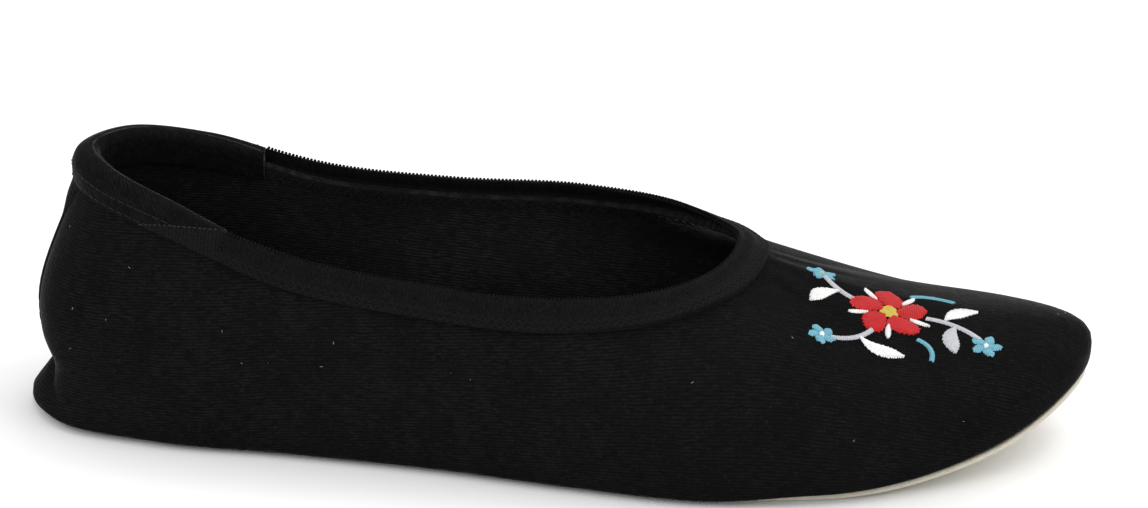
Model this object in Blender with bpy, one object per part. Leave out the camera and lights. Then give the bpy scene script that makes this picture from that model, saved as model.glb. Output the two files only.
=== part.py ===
"""Gymnastics slipper for a right foot, child's size, standing empty on its sole.

Every piece is worked out from one function, the outer face of the upper. Its sections run from
the collar over the widest line of the foot and turn under at the sole.
Sizes are in millimetres or in shares of the driving sizes, and the scene is in metres.
+X points to the toe, +Y to the inner (medial) side and +Z up.
"""

from typing import NamedTuple

import bmesh
import bpy
import numpy as np

# Driving sizes, in millimetres
MM = 0.001
LENGTH = 200.0
BALL_WIDTH = 75.0
INSTEP_HEIGHT = 37.0
HEEL_HEIGHT = 52.0
TOE_SPRING = 14.4
SPRING_START = 0.75
SPRING_POWER = 2.05
ARCH_RISE = 1.5
ARCH_START = 0.32
ARCH_END = 0.58

# Thicknesses and clearances
GAP = 0.3
WALL = 1.3
SOLE_THICKNESS = 1.3
INSOLE_THICKNESS = 1.8

# Collar trim: elastic at the sides and front, a folded binding at the heel
EDGE_BELOW_COLLAR = 3.0
ELASTIC_WIDTH = 6.1
ELASTIC_THICKNESS = 1.1
BINDING_WIDTH = 7.2
BINDING_LEAF = 0.9
BINDING_CROWN = 1.2
BINDING_HALF_LENGTH = 40.5

# Strip over the upright seam at the back of the heel: a tab that narrows below the binding
STRIP_HALF_WIDTH = 5.0
STRIP_NECK_HALF_WIDTH = 1.8
STRIP_NECK_START = 2.5
STRIP_NECK_END = 9.0
STRIP_THICKNESS = 0.9
STRIP_FOOT_THICKNESS = 0.5
STRIP_EDGE = 0.4
STRIP_FOOT_HEIGHT = 14.5

# Mesh fineness
COLUMNS_PER_SECTION = 4
WALL_LEVELS = 10
TURN_LEVELS = 9


class Section(NamedTuple):
    """One section of the upper, from the collar down to the sole.

    along, lateral, medial: widest point, in shares of LENGTH and BALL_WIDTH
    side: height of the widest point over the sole
    c_along, c_lateral, c_medial: collar point, in shares of LENGTH and BALL_WIDTH
    h_lateral, h_medial: collar height, 0 at INSTEP_HEIGHT and 1 at HEEL_HEIGHT
    lean: how steeply the wall leaves the collar, in degrees below level
    rise: how far the side goes straight up from the widest point
    reach: how far the wall runs straight on from the collar
    """

    name: str
    along: float
    lateral: float
    medial: float
    side: float
    c_along: float
    c_lateral: float
    c_medial: float
    h_lateral: float
    h_medial: float
    lean: float
    rise: float
    reach: float


SECTIONS = (
    Section("heel_back", 0.000, 0.000, 0.000, 20.5, 0.051, 0.000, 0.000, 1.03, 1.03, 80, 8.5, 10),
    Section("heel_turn", 0.033, 0.215, 0.213, 19.5, 0.078, 0.150, 0.150, 0.99, 0.99, 80, 8.5, 10),
    Section("heel_side", 0.125, 0.320, 0.320, 18.0, 0.148, 0.245, 0.245, 0.73, 0.76, 77, 9.0, 9),
    Section("waist_back", 0.260, 0.355, 0.333, 16.0, 0.250, 0.300, 0.287, 0.24, 0.30, 68, 9.0, 9),
    Section("waist", 0.400, 0.400, 0.347, 15.0, 0.380, 0.340, 0.320, 0.00, 0.10, 62, 9.0, 8),
    Section("instep", 0.530, 0.465, 0.400, 14.5, 0.505, 0.360, 0.347, -0.10, 0.03, 55, 9.0, 8),
    Section("ball", 0.650, 0.505, 0.473, 13.5, 0.595, 0.293, 0.290, -0.10, -0.03, 43, 10.0, 12),
    Section("fore", 0.760, 0.460, 0.500, 11.8, 0.642, 0.180, 0.190, -0.07, -0.07, 26, 10.0, 15),
    Section("toe_side", 0.858, 0.365, 0.453, 9.8, 0.658, 0.088, 0.120, -0.03, -0.04, 27, 9.5, 32),
    Section("toe_turn", 0.945, 0.222, 0.333, 7.1, 0.664, 0.018, 0.070, 0.00, -0.01, 24, 9.5, 41),
    Section("toe_tip", 1.000, -0.080, 0.080, 5.2, 0.665, -0.027, 0.027, 0.01, 0.01, 23, 9.5, 46),
)


class Edge(NamedTuple):
    """Lower edge of the upper at a section, and the sole there.

    turn: how far the edge turns under
    lip: height of the turned edge over the underside of the sole
    sole: how far the sole lies inside the widest line
    """

    turn: float
    lip: float
    sole: float


ROLLED_EDGE = Edge(4.5, 0.3, 4.8)
TOE_EDGES = {
    "fore": Edge(3.2, 1.7, 3.8),
    "toe_side": Edge(2.8, 1.7, 2.6),
    "toe_turn": Edge(2.4, 2.0, 1.3),
    "toe_tip": Edge(2.2, 2.1, 0.9),
}


class Fold(NamedTuple):
    """A soft fold across the back of the heel, pressed in by its depth (out where negative)."""

    name: str
    height: float
    spread: float
    reach: float
    depth: float


FOLDS = (
    Fold("heel_tuck", 10.5, 3.2, 15.0, 2.6),
    Fold("heel_roll", 0.5, 4.1, 24.0, -5.2),
)


class Finish(NamedTuple):
    colour: tuple
    roughness: float


FINISHES = {
    "upper": Finish((0.010, 0.010, 0.011), 0.85),
    "outsole": Finish((0.520, 0.480, 0.390), 0.90),
    "insole": Finish((0.030, 0.030, 0.032), 0.90),
    "collar_elastic": Finish((0.014, 0.014, 0.015), 0.75),
    "heel_binding": Finish((0.011, 0.011, 0.012), 0.80),
    "back_strip": Finish((0.010, 0.010, 0.011), 0.85),
}


# Curves through the sections, read at fractional row numbers

def around(lateral, medial):
    """Closed list of rows: heel, lateral side, toe, medial side."""
    return np.array(list(lateral) + list(medial)[-2:0:-1], float)


ROW_COUNT = 2 * len(SECTIONS) - 2


def row_and_share(columns):
    """Row before each column and how far the column lies past it."""
    columns = np.mod(np.asarray(columns, float), ROW_COUNT)
    row = np.minimum(columns.astype(int), ROW_COUNT - 1)
    return row, columns - row


def hermite(start, end, leave, arrive, share):
    """Cubic with given ends and end slopes."""
    s = share.reshape(share.shape + (1,) * (start.ndim - share.ndim))
    return (
        (2 * s**3 - 3 * s**2 + 1) * start
        + (s**3 - 2 * s**2 + s) * leave
        + (3 * s**2 - 2 * s**3) * end
        + (s**3 - s**2) * arrive
    )


def closed_curve(points, columns):
    """Smooth closed curve through the rows' points."""
    row, share = row_and_share(columns)
    following = np.roll(points, -1, axis=0)
    length = np.linalg.norm(following - points, axis=1)[:, None]
    slope = (following - points) / length
    length_before = np.roll(length, 1, axis=0)
    tangent = (np.roll(slope, 1, axis=0) * length + slope * length_before) / (length + length_before)
    after = (row + 1) % ROW_COUNT
    leave = tangent[row] * length[row]
    arrive = tangent[after] * length[row]
    return hermite(points[row], points[after], leave, arrive, share)


def row_values(values, columns):
    """Values between the rows, with no overshoot."""
    row, share = row_and_share(columns)
    step = np.roll(values, -1) - values
    before = np.roll(step, 1)
    same_way = step * before > 0
    total = np.where(same_way, step + before, 1.0)
    tangent = np.where(same_way, 2 * step * before / total, 0.0)
    after = (row + 1) % ROW_COUNT
    return hermite(values[row], values[after], tangent[row], tangent[after], share)


def section_values(field, columns):
    """A size of the sections that is the same on both sides."""
    column = [getattr(section, field) for section in SECTIONS]
    return row_values(around(column, column), columns)


def edge_values(field, columns):
    """A size of the lower edge, the same on both sides."""
    column = [getattr(TOE_EDGES.get(section.name, ROLLED_EDGE), field) for section in SECTIONS]
    return row_values(around(column, column), columns)


def widest_rows():
    lateral = [(s.along * LENGTH, -s.lateral * BALL_WIDTH) for s in SECTIONS]
    medial = [(s.along * LENGTH, s.medial * BALL_WIDTH) for s in SECTIONS]
    return around(lateral, medial)


def collar_rows():
    climb = HEEL_HEIGHT - INSTEP_HEIGHT
    lateral = [
        (s.c_along * LENGTH, -s.c_lateral * BALL_WIDTH, INSTEP_HEIGHT + s.h_lateral * climb)
        for s in SECTIONS
    ]
    medial = [
        (s.c_along * LENGTH, s.c_medial * BALL_WIDTH, INSTEP_HEIGHT + s.h_medial * climb)
        for s in SECTIONS
    ]
    return around(lateral, medial)


WIDEST = widest_rows()
COLLAR = collar_rows()


def outward(points, columns):
    """Level unit normals of a closed curve, pointing away from the foot."""
    along = closed_curve(points, columns + 0.01)[:, :2] - closed_curve(points, columns - 0.01)[:, :2]
    normal = np.column_stack((along[:, 1], -along[:, 0]))
    return normal / np.linalg.norm(normal, axis=1)[:, None]


def column_at(points, distance):
    """Column on the lateral side at a distance from the heel's back along a curve."""
    columns = np.linspace(0, len(SECTIONS) - 1, 400)
    steps = np.linalg.norm(np.diff(closed_curve(points, columns), axis=0), axis=1)
    return np.interp(distance, np.concatenate(([0.0], np.cumsum(steps))), columns)


def heel_distance(columns):
    """Distance from the heel's back along the widest line, on either side."""
    fine = np.linspace(0, ROW_COUNT, 1200)
    steps = np.linalg.norm(np.diff(closed_curve(WIDEST, fine), axis=0), axis=1)
    run = np.concatenate(([0.0], np.cumsum(steps)))
    distance = np.interp(np.mod(columns, ROW_COUNT), fine, run)
    return np.minimum(distance, run[-1] - distance)


# The last: sole line and outer face of the upper

def sole_height(x, y):
    """Underside of the sole: level at heel and ball, with an arch on the medial side and toe spring."""
    spring = np.clip((x / LENGTH - SPRING_START) / (1 - SPRING_START), 0, None)
    arch = np.clip((x / LENGTH - ARCH_START) / (ARCH_END - ARCH_START), 0, 1)
    inner = np.clip(y / (0.3 * BALL_WIDTH), 0, 1)
    return TOE_SPRING * spring**SPRING_POWER + ARCH_RISE * np.sin(np.pi * arch) ** 2 * inner


def bezier(p0, p1, p2, p3, count):
    s = np.linspace(0, 1, count)[None, :, None]
    p0, p1, p2, p3 = (p[:, None] for p in (p0, p1, p2, p3))
    return (1 - s) ** 3 * p0 + 3 * s * (1 - s) ** 2 * p1 + 3 * s**2 * (1 - s) * p2 + s**3 * p3


def upright(heights):
    return np.column_stack((np.zeros_like(heights), np.zeros_like(heights), heights))


def fold_depth(from_back, height):
    """How far the folds press the heel in, at a distance from its back and a height over the sole."""
    return sum(
        fold.depth * np.exp(-((from_back / fold.reach) ** 2) - ((height - fold.height) / fold.spread) ** 2)
        for fold in FOLDS
    )


WALL_SAMPLES = 61
TURN_SAMPLES = 61
CORNER = 0.8


def profiles(columns):
    """Closely spaced points of the outer face, from the collar down and under, for each column."""
    plan = closed_curve(WIDEST, columns)
    away = outward(WIDEST, columns)
    floor = sole_height(plan[:, 0], plan[:, 1])
    widest = np.column_stack((plan, floor + section_values("side", columns)))
    collar = closed_curve(COLLAR, columns)

    lean = np.radians(section_values("lean", columns))
    collar_away = outward(COLLAR, columns)
    leave = np.column_stack((collar_away * np.cos(lean)[:, None], -np.sin(lean)))
    reach = section_values("reach", columns)[:, None]
    rise = upright(section_values("rise", columns))
    wall = bezier(collar, collar + leave * reach, widest + rise, widest, WALL_SAMPLES)

    turn = edge_values("turn", columns)[:, None]
    lip_plan = plan - away * turn
    lip_height = sole_height(lip_plan[:, 0], lip_plan[:, 1]) + edge_values("lip", columns)
    lip = np.column_stack((lip_plan, lip_height))
    drop = upright(CORNER * (widest[:, 2] - lip_height))
    sideways = np.column_stack((away * turn * CORNER, np.zeros(len(columns))))
    under = bezier(widest, widest - drop, lip + sideways, lip, TURN_SAMPLES)

    points = np.concatenate((wall, under[:, 1:]), axis=1)
    over_sole = points[:, :, 2] - floor[:, None]
    turned_in = np.einsum("cpk,ck->cp", plan[:, None, :] - points[:, :, :2], away)
    pressed = fold_depth(heel_distance(columns)[:, None], over_sole)
    pressed *= 1 - np.clip(turned_in / turn, 0, 1) ** 2
    points[:, :, :2] -= pressed[:, :, None] * away[:, None, :]
    return points


def run_lengths(points):
    """Distance below the collar of every profile point."""
    steps = np.linalg.norm(np.diff(points, axis=1), axis=2)
    return np.concatenate((np.zeros((len(points), 1)), np.cumsum(steps, axis=1)), axis=1)


def face_points(columns, below):
    """Points of the outer face: a row for each column, at distances below the collar."""
    points = profiles(columns)
    runs = run_lengths(points)
    return np.array([
        np.column_stack([np.interp(down, run, line[:, axis]) for axis in range(3)])
        for line, run, down in zip(points, runs, below)
    ])


def face_normals(columns, below):
    """Unit normals of the outer face at the same points, pointing out of the shoe."""
    across = face_points(columns + 0.02, below) - face_points(columns - 0.02, below)
    down = face_points(columns, below + 0.2) - face_points(columns, np.maximum(below - 0.2, 0))
    normal = np.cross(down, across)
    return normal / np.linalg.norm(normal, axis=2)[:, :, None]


# Meshes

def sweep_faces(column_count, section_count, closed):
    """Quads between neighbouring closed sections, with end caps on an open sweep."""
    faces = []
    for column in range(column_count if closed else column_count - 1):
        here = column * section_count
        there = (column + 1) % column_count * section_count
        for point in range(section_count):
            following = (point + 1) % section_count
            faces.append((here + point, here + following, there + following, there + point))
    if not closed:
        last = (column_count - 1) * section_count
        faces.append(tuple(range(section_count - 1, -1, -1)))
        faces.append(tuple(range(last, last + section_count)))
    return faces


def swept(sections, closed=False):
    """Points and faces of a solid through closed sections."""
    column_count, section_count, _ = sections.shape
    return sections.reshape(-1, 3), sweep_faces(column_count, section_count, closed)


def plate(outline, thickness, lift):
    """Points and faces of a plate that follows the sole line, with its two sides joined by rungs."""
    count = len(outline)
    bottom = np.column_stack((outline, sole_height(outline[:, 0], outline[:, 1]) + lift))
    top = bottom + np.array((0.0, 0.0, thickness))
    faces = [(i, (i + 1) % count, count + (i + 1) % count, count + i) for i in range(count)]
    half = count // 2
    for i in range(half):
        rung = [i, i + 1, (count - i - 1) % count, (count - i) % count]
        rung = list(dict.fromkeys(rung))
        faces.append(tuple(reversed(rung)))
        faces.append(tuple(count + i for i in rung))
    return np.concatenate((bottom, top)), faces


def material(name):
    finish = FINISHES[name]
    made = bpy.data.materials.new(name)
    made.use_nodes = True
    shader = made.node_tree.nodes["Principled BSDF"]
    shader.inputs["Base Color"].default_value = (*finish.colour, 1.0)
    shader.inputs["Roughness"].default_value = finish.roughness
    shader.inputs["Metallic"].default_value = 0.0
    made.diffuse_color = (*finish.colour, 1.0)
    return made


def add_object(name, points, faces, shift):
    mesh = bpy.data.meshes.new(name)
    mesh.from_pydata([tuple(point) for point in (points + shift) * MM], [], faces)
    shape = bmesh.new()
    shape.from_mesh(mesh)
    bmesh.ops.triangulate(shape, faces=shape.faces[:])
    bmesh.ops.recalc_face_normals(shape, faces=shape.faces[:])
    shape.to_mesh(mesh)
    shape.free()
    mesh.materials.append(material(name))
    made = bpy.data.objects.new(name, mesh)
    bpy.context.scene.collection.objects.link(made)
    return made


# Pieces

ALL_COLUMNS = np.arange(ROW_COUNT * COLUMNS_PER_SECTION) / COLUMNS_PER_SECTION


def upper():
    """Hollow wall, open at the collar and underneath."""
    runs = run_lengths(profiles(ALL_COLUMNS))
    to_widest = runs[:, WALL_SAMPLES - 1][:, None]
    to_lip = runs[:, -1][:, None]
    wall_share = np.linspace(0, 1, WALL_LEVELS + 1)[None, :]
    turn_share = np.linspace(0, 1, TURN_LEVELS + 1)[None, 1:]
    below = np.concatenate((
        EDGE_BELOW_COLLAR + wall_share * (to_widest - EDGE_BELOW_COLLAR),
        to_widest + turn_share * (to_lip - to_widest),
    ), axis=1)
    outer = face_points(ALL_COLUMNS, below)
    inner = outer - WALL * face_normals(ALL_COLUMNS, below)
    return swept(np.concatenate((outer, inner[:, ::-1]), axis=1), closed=True)


def sole_outline(columns, inset):
    return closed_curve(WIDEST, columns) - outward(WIDEST, columns) * inset[:, None]


def outsole():
    """Thin plate that closes the upper from below."""
    columns = np.arange(2 * len(ALL_COLUMNS)) / (2 * COLUMNS_PER_SECTION)
    return plate(sole_outline(columns, edge_values("sole", columns)), SOLE_THICKNESS, 0.0)


def insole():
    """Sock that lies on the sole, just inside the turned edge."""
    inset = edge_values("turn", ALL_COLUMNS) + 2 * GAP
    return plate(sole_outline(ALL_COLUMNS, inset), INSOLE_THICKNESS, SOLE_THICKNESS + GAP)


def offset_section(columns, outline, narrowed=1.0):
    """Closed section for each column, from points given as distance below the collar and offset outward.

    The distances are narrowed by a share of their own for each column.
    """
    below = np.outer(np.broadcast_to(narrowed, columns.shape), [point[0] for point in outline])
    offset = np.array([point[1] for point in outline])[None, :, None]
    return face_points(columns, below) + offset * face_normals(columns, below)


def columns_between(start, end):
    """The given ends and the mesh columns between them."""
    steps = np.arange(np.ceil(start * COLUMNS_PER_SECTION), np.floor(end * COLUMNS_PER_SECTION) + 1)
    inside = steps / COLUMNS_PER_SECTION
    inside = inside[(inside > start + 0.05) & (inside < end - 0.05)]
    return np.concatenate(([start], inside, [end]))


def collar_elastic():
    """Tape laid round the outside of the collar, from one end of the heel binding to the other."""
    start = column_at(COLLAR, BINDING_HALF_LENGTH + GAP)
    top = GAP + ELASTIC_THICKNESS
    middle = ELASTIC_WIDTH / 2
    section = (
        (0.0, GAP), (middle, GAP), (ELASTIC_WIDTH, GAP),
        (ELASTIC_WIDTH, top), (middle, top), (0.0, top),
    )
    return swept(offset_section(columns_between(start, ROW_COUNT - start), section))


def heel_binding():
    """Folded casing over the upper's edge, padded at the back and narrowed to the elastic at its ends."""
    end = column_at(COLLAR, BINDING_HALF_LENGTH)
    columns = columns_between(-end, end)
    to_end = (columns / end) ** 2
    narrowed = 1 - to_end * (1 - ELASTIC_WIDTH / BINDING_WIDTH)
    flat = offset_section(columns, binding_section(0.0), narrowed)
    padded = offset_section(columns, binding_section(BINDING_CROWN), narrowed)
    return swept(flat + (1 - to_end)[:, None, None] * (padded - flat))


def binding_section(crown):
    """Section of the binding, its outer leaf padded out by a crown."""
    outside = GAP + BINDING_LEAF
    inside = -WALL - GAP - BINDING_LEAF
    fold = EDGE_BELOW_COLLAR - GAP
    middle = BINDING_WIDTH / 2
    return (
        (0.0, inside + 1.6), (0.6, outside - 0.5), (1.8, outside + 0.75 * crown),
        (middle, outside + crown), (0.75 * BINDING_WIDTH, outside + 0.7 * crown), (BINDING_WIDTH, outside),
        (BINDING_WIDTH, GAP), (middle, GAP), (fold, GAP),
        (fold, -WALL - GAP), (middle, -WALL - GAP), (BINDING_WIDTH, -WALL - GAP),
        (BINDING_WIDTH, inside), (middle, inside), (1.0, inside), (0.2, inside + 0.6),
    )


def back_strip():
    """Raised strip over the back seam, from the binding down to the tuck in the heel."""
    centre = profiles(np.zeros(1))[0]
    foot = np.interp(-STRIP_FOOT_HEIGHT, -centre[:, 2], run_lengths(centre[None])[0])
    sections = []
    for share in np.linspace(0, 1, 14):
        down = share * (foot - BINDING_WIDTH - GAP)
        middle = STRIP_THICKNESS + share**2 * (STRIP_FOOT_THICKNESS - STRIP_THICKNESS)
        thickness = np.where(np.arange(7) % 6 == 0, STRIP_EDGE, middle)[:, None]
        half = column_at(WIDEST, strip_half_width(down))
        columns = np.linspace(-half, half, 7)
        below = np.full((7, 1), BINDING_WIDTH + GAP + down)
        face = face_points(columns, below)[:, 0]
        normal = face_normals(columns, below)[:, 0]
        sections.append(np.concatenate((face + (GAP + thickness) * normal, (face + GAP * normal)[::-1])))
    return swept(np.array(sections))


def strip_half_width(down):
    """Half width of the strip at a distance below its top."""
    share = np.clip((down - STRIP_NECK_START) / (STRIP_NECK_END - STRIP_NECK_START), 0, 1)
    return STRIP_HALF_WIDTH + share**2 * (3 - 2 * share) * (STRIP_NECK_HALF_WIDTH - STRIP_HALF_WIDTH)


def main():
    for old in list(bpy.data.objects):
        bpy.data.objects.remove(old, do_unlink=True)
    pieces = {
        "upper": upper(),
        "outsole": outsole(),
        "insole": insole(),
        "collar_elastic": collar_elastic(),
        "heel_binding": heel_binding(),
        "back_strip": back_strip(),
    }
    everything = np.concatenate([points for points, _ in pieces.values()])
    middle = (everything.min(axis=0) + everything.max(axis=0)) / 2
    shift = np.array((-middle[0], -middle[1], 0.0))
    for name, (points, faces) in pieces.items():
        add_object(name, points, faces, shift)


if __name__ == "__main__":
    main()
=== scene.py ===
"""Looks of a black gymnastics slipper: ribbed cloth, elastic collar, leather sole and embroidery.

The shape is worked out from one function, the outer face of the upper, in millimetres and in the
slipper's own axes: x from the heel to the toe, y to the inner (medial) side, z up from the floor.
Finished meshes are in metres, in the frame's axes.
"""

import functools
import math
from typing import NamedTuple

import bmesh
import bpy
import numpy as np
from mathutils import Matrix, Vector
from mathutils.bvhtree import BVHTree


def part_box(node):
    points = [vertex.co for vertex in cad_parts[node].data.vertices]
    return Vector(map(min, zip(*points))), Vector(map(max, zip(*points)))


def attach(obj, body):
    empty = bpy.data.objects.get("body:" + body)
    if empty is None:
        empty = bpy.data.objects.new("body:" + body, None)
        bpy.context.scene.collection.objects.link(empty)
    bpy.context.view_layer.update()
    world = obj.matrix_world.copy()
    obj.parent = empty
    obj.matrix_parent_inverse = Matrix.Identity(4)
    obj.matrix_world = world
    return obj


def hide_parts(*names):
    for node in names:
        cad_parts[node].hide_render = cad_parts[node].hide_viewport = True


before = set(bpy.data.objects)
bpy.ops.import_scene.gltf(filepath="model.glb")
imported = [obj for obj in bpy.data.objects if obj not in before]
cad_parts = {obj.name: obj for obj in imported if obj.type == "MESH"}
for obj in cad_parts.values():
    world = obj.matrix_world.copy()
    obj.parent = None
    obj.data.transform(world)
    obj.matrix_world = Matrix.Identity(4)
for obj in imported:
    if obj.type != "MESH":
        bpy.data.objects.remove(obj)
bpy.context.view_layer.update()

bl_info = {
    "name": "Gymnastics Slipper",
    "version": (1, 0, 0),
    "blender": (4, 5, 0),
    "location": "3D View > Sidebar > Slipper",
    "description": "Dresses the packed gymnastics slipper in cloth, elastic, leather and thread",
    "category": "Object",
}

BODY = "root"
MM = 0.001

# Driving sizes of the shape, in millimetres
LENGTH = 200.0
BALL_WIDTH = 75.0
INSTEP_HEIGHT = 37.0
HEEL_HEIGHT = 52.0
TOE_SPRING = 14.4
SPRING_START = 0.75
SPRING_POWER = 2.05
ARCH_RISE = 1.5
ARCH_START = 0.32
ARCH_END = 0.58
ARCH_REACH = 0.3

# Thicknesses and clearances
GAP = 0.3
SEATED = 0.05
WALL = 1.3
SOLE_THICKNESS = 1.3
INSOLE_THICKNESS = 1.8

# Collar trim and back strip
EDGE_BELOW_COLLAR = 3.0
ELASTIC_WIDTH = 6.1
ELASTIC_THICKNESS = 1.1
BINDING_WIDTH = 7.2
BINDING_LEAF = 0.9
BINDING_CROWN = 1.2
BINDING_HALF_LENGTH = 40.5
STRIP_HALF_WIDTH = 5.0
STRIP_NECK_HALF_WIDTH = 1.8
STRIP_NECK_START = 2.5
STRIP_NECK_END = 9.0
STRIP_THICKNESS = 0.9
STRIP_FOOT_THICKNESS = 0.5
STRIP_FOOT_HEIGHT = 14.5

# Mesh fineness
CAD_SOLE_COLUMNS = 8
UPPER_COLUMNS = 20
WALL_LEVELS = 46
TURN_LEVELS = 20
TRIM_COLUMNS = 560
BINDING_COLUMNS = 160
SOLE_COLUMNS = 16

# Steps for slopes and lengths: in columns, in millimetres and in parts of a curve
TANGENT_STEP = 0.01
NORMAL_STEP = 0.02
NORMAL_DROP = 0.2
SIDE_PARTS = 400
ROUND_PARTS = 1200


class Section(NamedTuple):
    """One section of the upper, from the collar down to the sole.

    along, lateral, medial: widest point, in shares of LENGTH and BALL_WIDTH
    side: height of the widest point over the sole
    c_along, c_lateral, c_medial: collar point, in shares of LENGTH and BALL_WIDTH
    h_lateral, h_medial: collar height, 0 at INSTEP_HEIGHT and 1 at HEEL_HEIGHT
    lean: how steeply the wall leaves the collar, in degrees below level
    rise: how far the side goes straight up from the widest point
    reach: how far the wall runs straight on from the collar
    """

    name: str
    along: float
    lateral: float
    medial: float
    side: float
    c_along: float
    c_lateral: float
    c_medial: float
    h_lateral: float
    h_medial: float
    lean: float
    rise: float
    reach: float


SECTIONS = (
    Section("heel_back", 0.000, 0.000, 0.000, 20.5, 0.051, 0.000, 0.000, 1.03, 1.03, 80, 8.5, 10),
    Section("heel_turn", 0.033, 0.215, 0.213, 19.5, 0.078, 0.150, 0.150, 0.99, 0.99, 80, 8.5, 10),
    Section("heel_side", 0.125, 0.320, 0.320, 18.0, 0.148, 0.245, 0.245, 0.73, 0.76, 77, 9.0, 9),
    Section("waist_back", 0.260, 0.355, 0.333, 16.0, 0.250, 0.300, 0.287, 0.24, 0.30, 68, 9.0, 9),
    Section("waist", 0.400, 0.400, 0.347, 15.0, 0.380, 0.340, 0.320, 0.00, 0.10, 62, 9.0, 8),
    Section("instep", 0.530, 0.465, 0.400, 14.5, 0.505, 0.360, 0.347, -0.10, 0.03, 55, 9.0, 8),
    Section("ball", 0.650, 0.505, 0.473, 13.5, 0.595, 0.293, 0.290, -0.10, -0.03, 43, 10.0, 12),
    Section("fore", 0.760, 0.460, 0.500, 11.8, 0.642, 0.180, 0.190, -0.07, -0.07, 26, 10.0, 15),
    Section("toe_side", 0.858, 0.365, 0.453, 9.8, 0.658, 0.088, 0.120, -0.03, -0.04, 27, 9.5, 32),
    Section("toe_turn", 0.945, 0.222, 0.333, 7.1, 0.664, 0.018, 0.070, 0.00, -0.01, 24, 9.5, 41),
    Section("toe_tip", 1.000, -0.080, 0.080, 5.2, 0.665, -0.027, 0.027, 0.01, 0.01, 23, 9.5, 46),
)
ROW_COUNT = 2 * len(SECTIONS) - 2
TOE_COLUMN = len(SECTIONS) - 1


class Edge(NamedTuple):
    """Lower edge of the upper: how far it turns under, its lip's height, and the sole's inset."""

    turn: float
    lip: float
    sole: float


ROLLED_EDGE = Edge(4.5, 0.3, 4.8)
TOE_EDGES = {
    "fore": Edge(3.2, 1.7, 3.8),
    "toe_side": Edge(2.8, 1.7, 2.6),
    "toe_turn": Edge(2.4, 2.0, 1.3),
    "toe_tip": Edge(2.2, 2.1, 0.9),
}


class Fold(NamedTuple):
    """A soft fold across the back of the heel, pressed in by its depth (out where negative)."""

    name: str
    height: float
    spread: float
    reach: float
    depth: float


FOLDS = (
    Fold("heel_tuck", 10.5, 3.2, 15.0, 2.6),
    Fold("heel_roll", 0.5, 4.1, 24.0, -5.2),
)


class Crease(NamedTuple):
    """A soft trough (a ridge where its depth is negative) that fades from its start to its end.

    The ends are columns of the shape and shares of the wall: 0 at the collar, 1 at the widest line
    and 2 at the turned edge. The width and depth are in millimetres.
    """

    name: str
    start_column: float
    start_share: float
    end_column: float
    end_share: float
    width: float
    depth: float


CREASES = (
    Crease("heel_outer", 0.25, 1.24, 1.10, 1.52, 1.6, 0.9),
    Crease("heel_inner", 19.75, 1.24, 18.90, 1.52, 1.6, 0.9),
    Crease("throat_outer", 8.50, 0.09, 8.35, 0.30, 1.8, 0.22),
    Crease("throat_swell", 8.95, 0.09, 8.75, 0.26, 2.2, -0.15),
    Crease("throat_front", 9.35, 0.07, 9.15, 0.26, 1.9, 0.22),
    Crease("throat_ridge", 9.90, 0.06, 9.92, 0.22, 1.9, -0.12),
    Crease("throat_inner", 10.70, 0.07, 11.00, 0.26, 1.9, 0.20),
    Crease("throat_far", 11.70, 0.09, 11.90, 0.28, 1.8, 0.20),
    Crease("waist_outer", 3.00, 1.05, 5.60, 0.80, 5.0, 0.45),
    Crease("waist_inner", 17.00, 1.05, 14.60, 0.80, 5.0, 0.50),
    Crease("quarter_outer", 2.20, 0.55, 4.40, 0.90, 4.5, 0.30),
    Crease("quarter_inner", 17.80, 0.55, 15.60, 0.90, 4.5, 0.35),
)
CREASE_STEPS = 14


# Curves through the sections, read at fractional column numbers

def around(lateral, medial):
    """Closed list of rows: heel, lateral side, toe, medial side."""
    return np.array(list(lateral) + list(medial)[-2:0:-1], float)


def row_and_share(columns):
    """Row before each column and how far the column lies past it."""
    columns = np.mod(np.asarray(columns, float), ROW_COUNT)
    row = np.minimum(columns.astype(int), ROW_COUNT - 1)
    return row, columns - row


def hermite(start, end, leave, arrive, share):
    """Cubic with given ends and end slopes."""
    s = share.reshape(share.shape + (1,) * (start.ndim - share.ndim))
    return (
        (2 * s**3 - 3 * s**2 + 1) * start
        + (s**3 - 2 * s**2 + s) * leave
        + (3 * s**2 - 2 * s**3) * end
        + (s**3 - s**2) * arrive
    )


def closed_curve(points, columns):
    """Smooth closed curve through the rows' points."""
    row, share = row_and_share(columns)
    following = np.roll(points, -1, axis=0)
    length = np.linalg.norm(following - points, axis=1)[:, None]
    slope = (following - points) / length
    length_before = np.roll(length, 1, axis=0)
    tangent = (np.roll(slope, 1, axis=0) * length + slope * length_before) / (length + length_before)
    after = (row + 1) % ROW_COUNT
    leave = tangent[row] * length[row]
    arrive = tangent[after] * length[row]
    return hermite(points[row], points[after], leave, arrive, share)


def row_values(values, columns):
    """Values between the rows, with no overshoot."""
    row, share = row_and_share(columns)
    step = np.roll(values, -1) - values
    before = np.roll(step, 1)
    same_way = step * before > 0
    total = np.where(same_way, step + before, 1.0)
    tangent = np.where(same_way, 2 * step * before / total, 0.0)
    after = (row + 1) % ROW_COUNT
    return hermite(values[row], values[after], tangent[row], tangent[after], share)


def section_values(field, columns):
    """A size of the sections that is the same on both sides."""
    column = [getattr(section, field) for section in SECTIONS]
    return row_values(around(column, column), columns)


def edge_values(field, columns):
    """A size of the lower edge, the same on both sides."""
    column = [getattr(TOE_EDGES.get(section.name, ROLLED_EDGE), field) for section in SECTIONS]
    return row_values(around(column, column), columns)


def widest_rows():
    lateral = [(s.along * LENGTH, -s.lateral * BALL_WIDTH) for s in SECTIONS]
    medial = [(s.along * LENGTH, s.medial * BALL_WIDTH) for s in SECTIONS]
    return around(lateral, medial)


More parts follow.
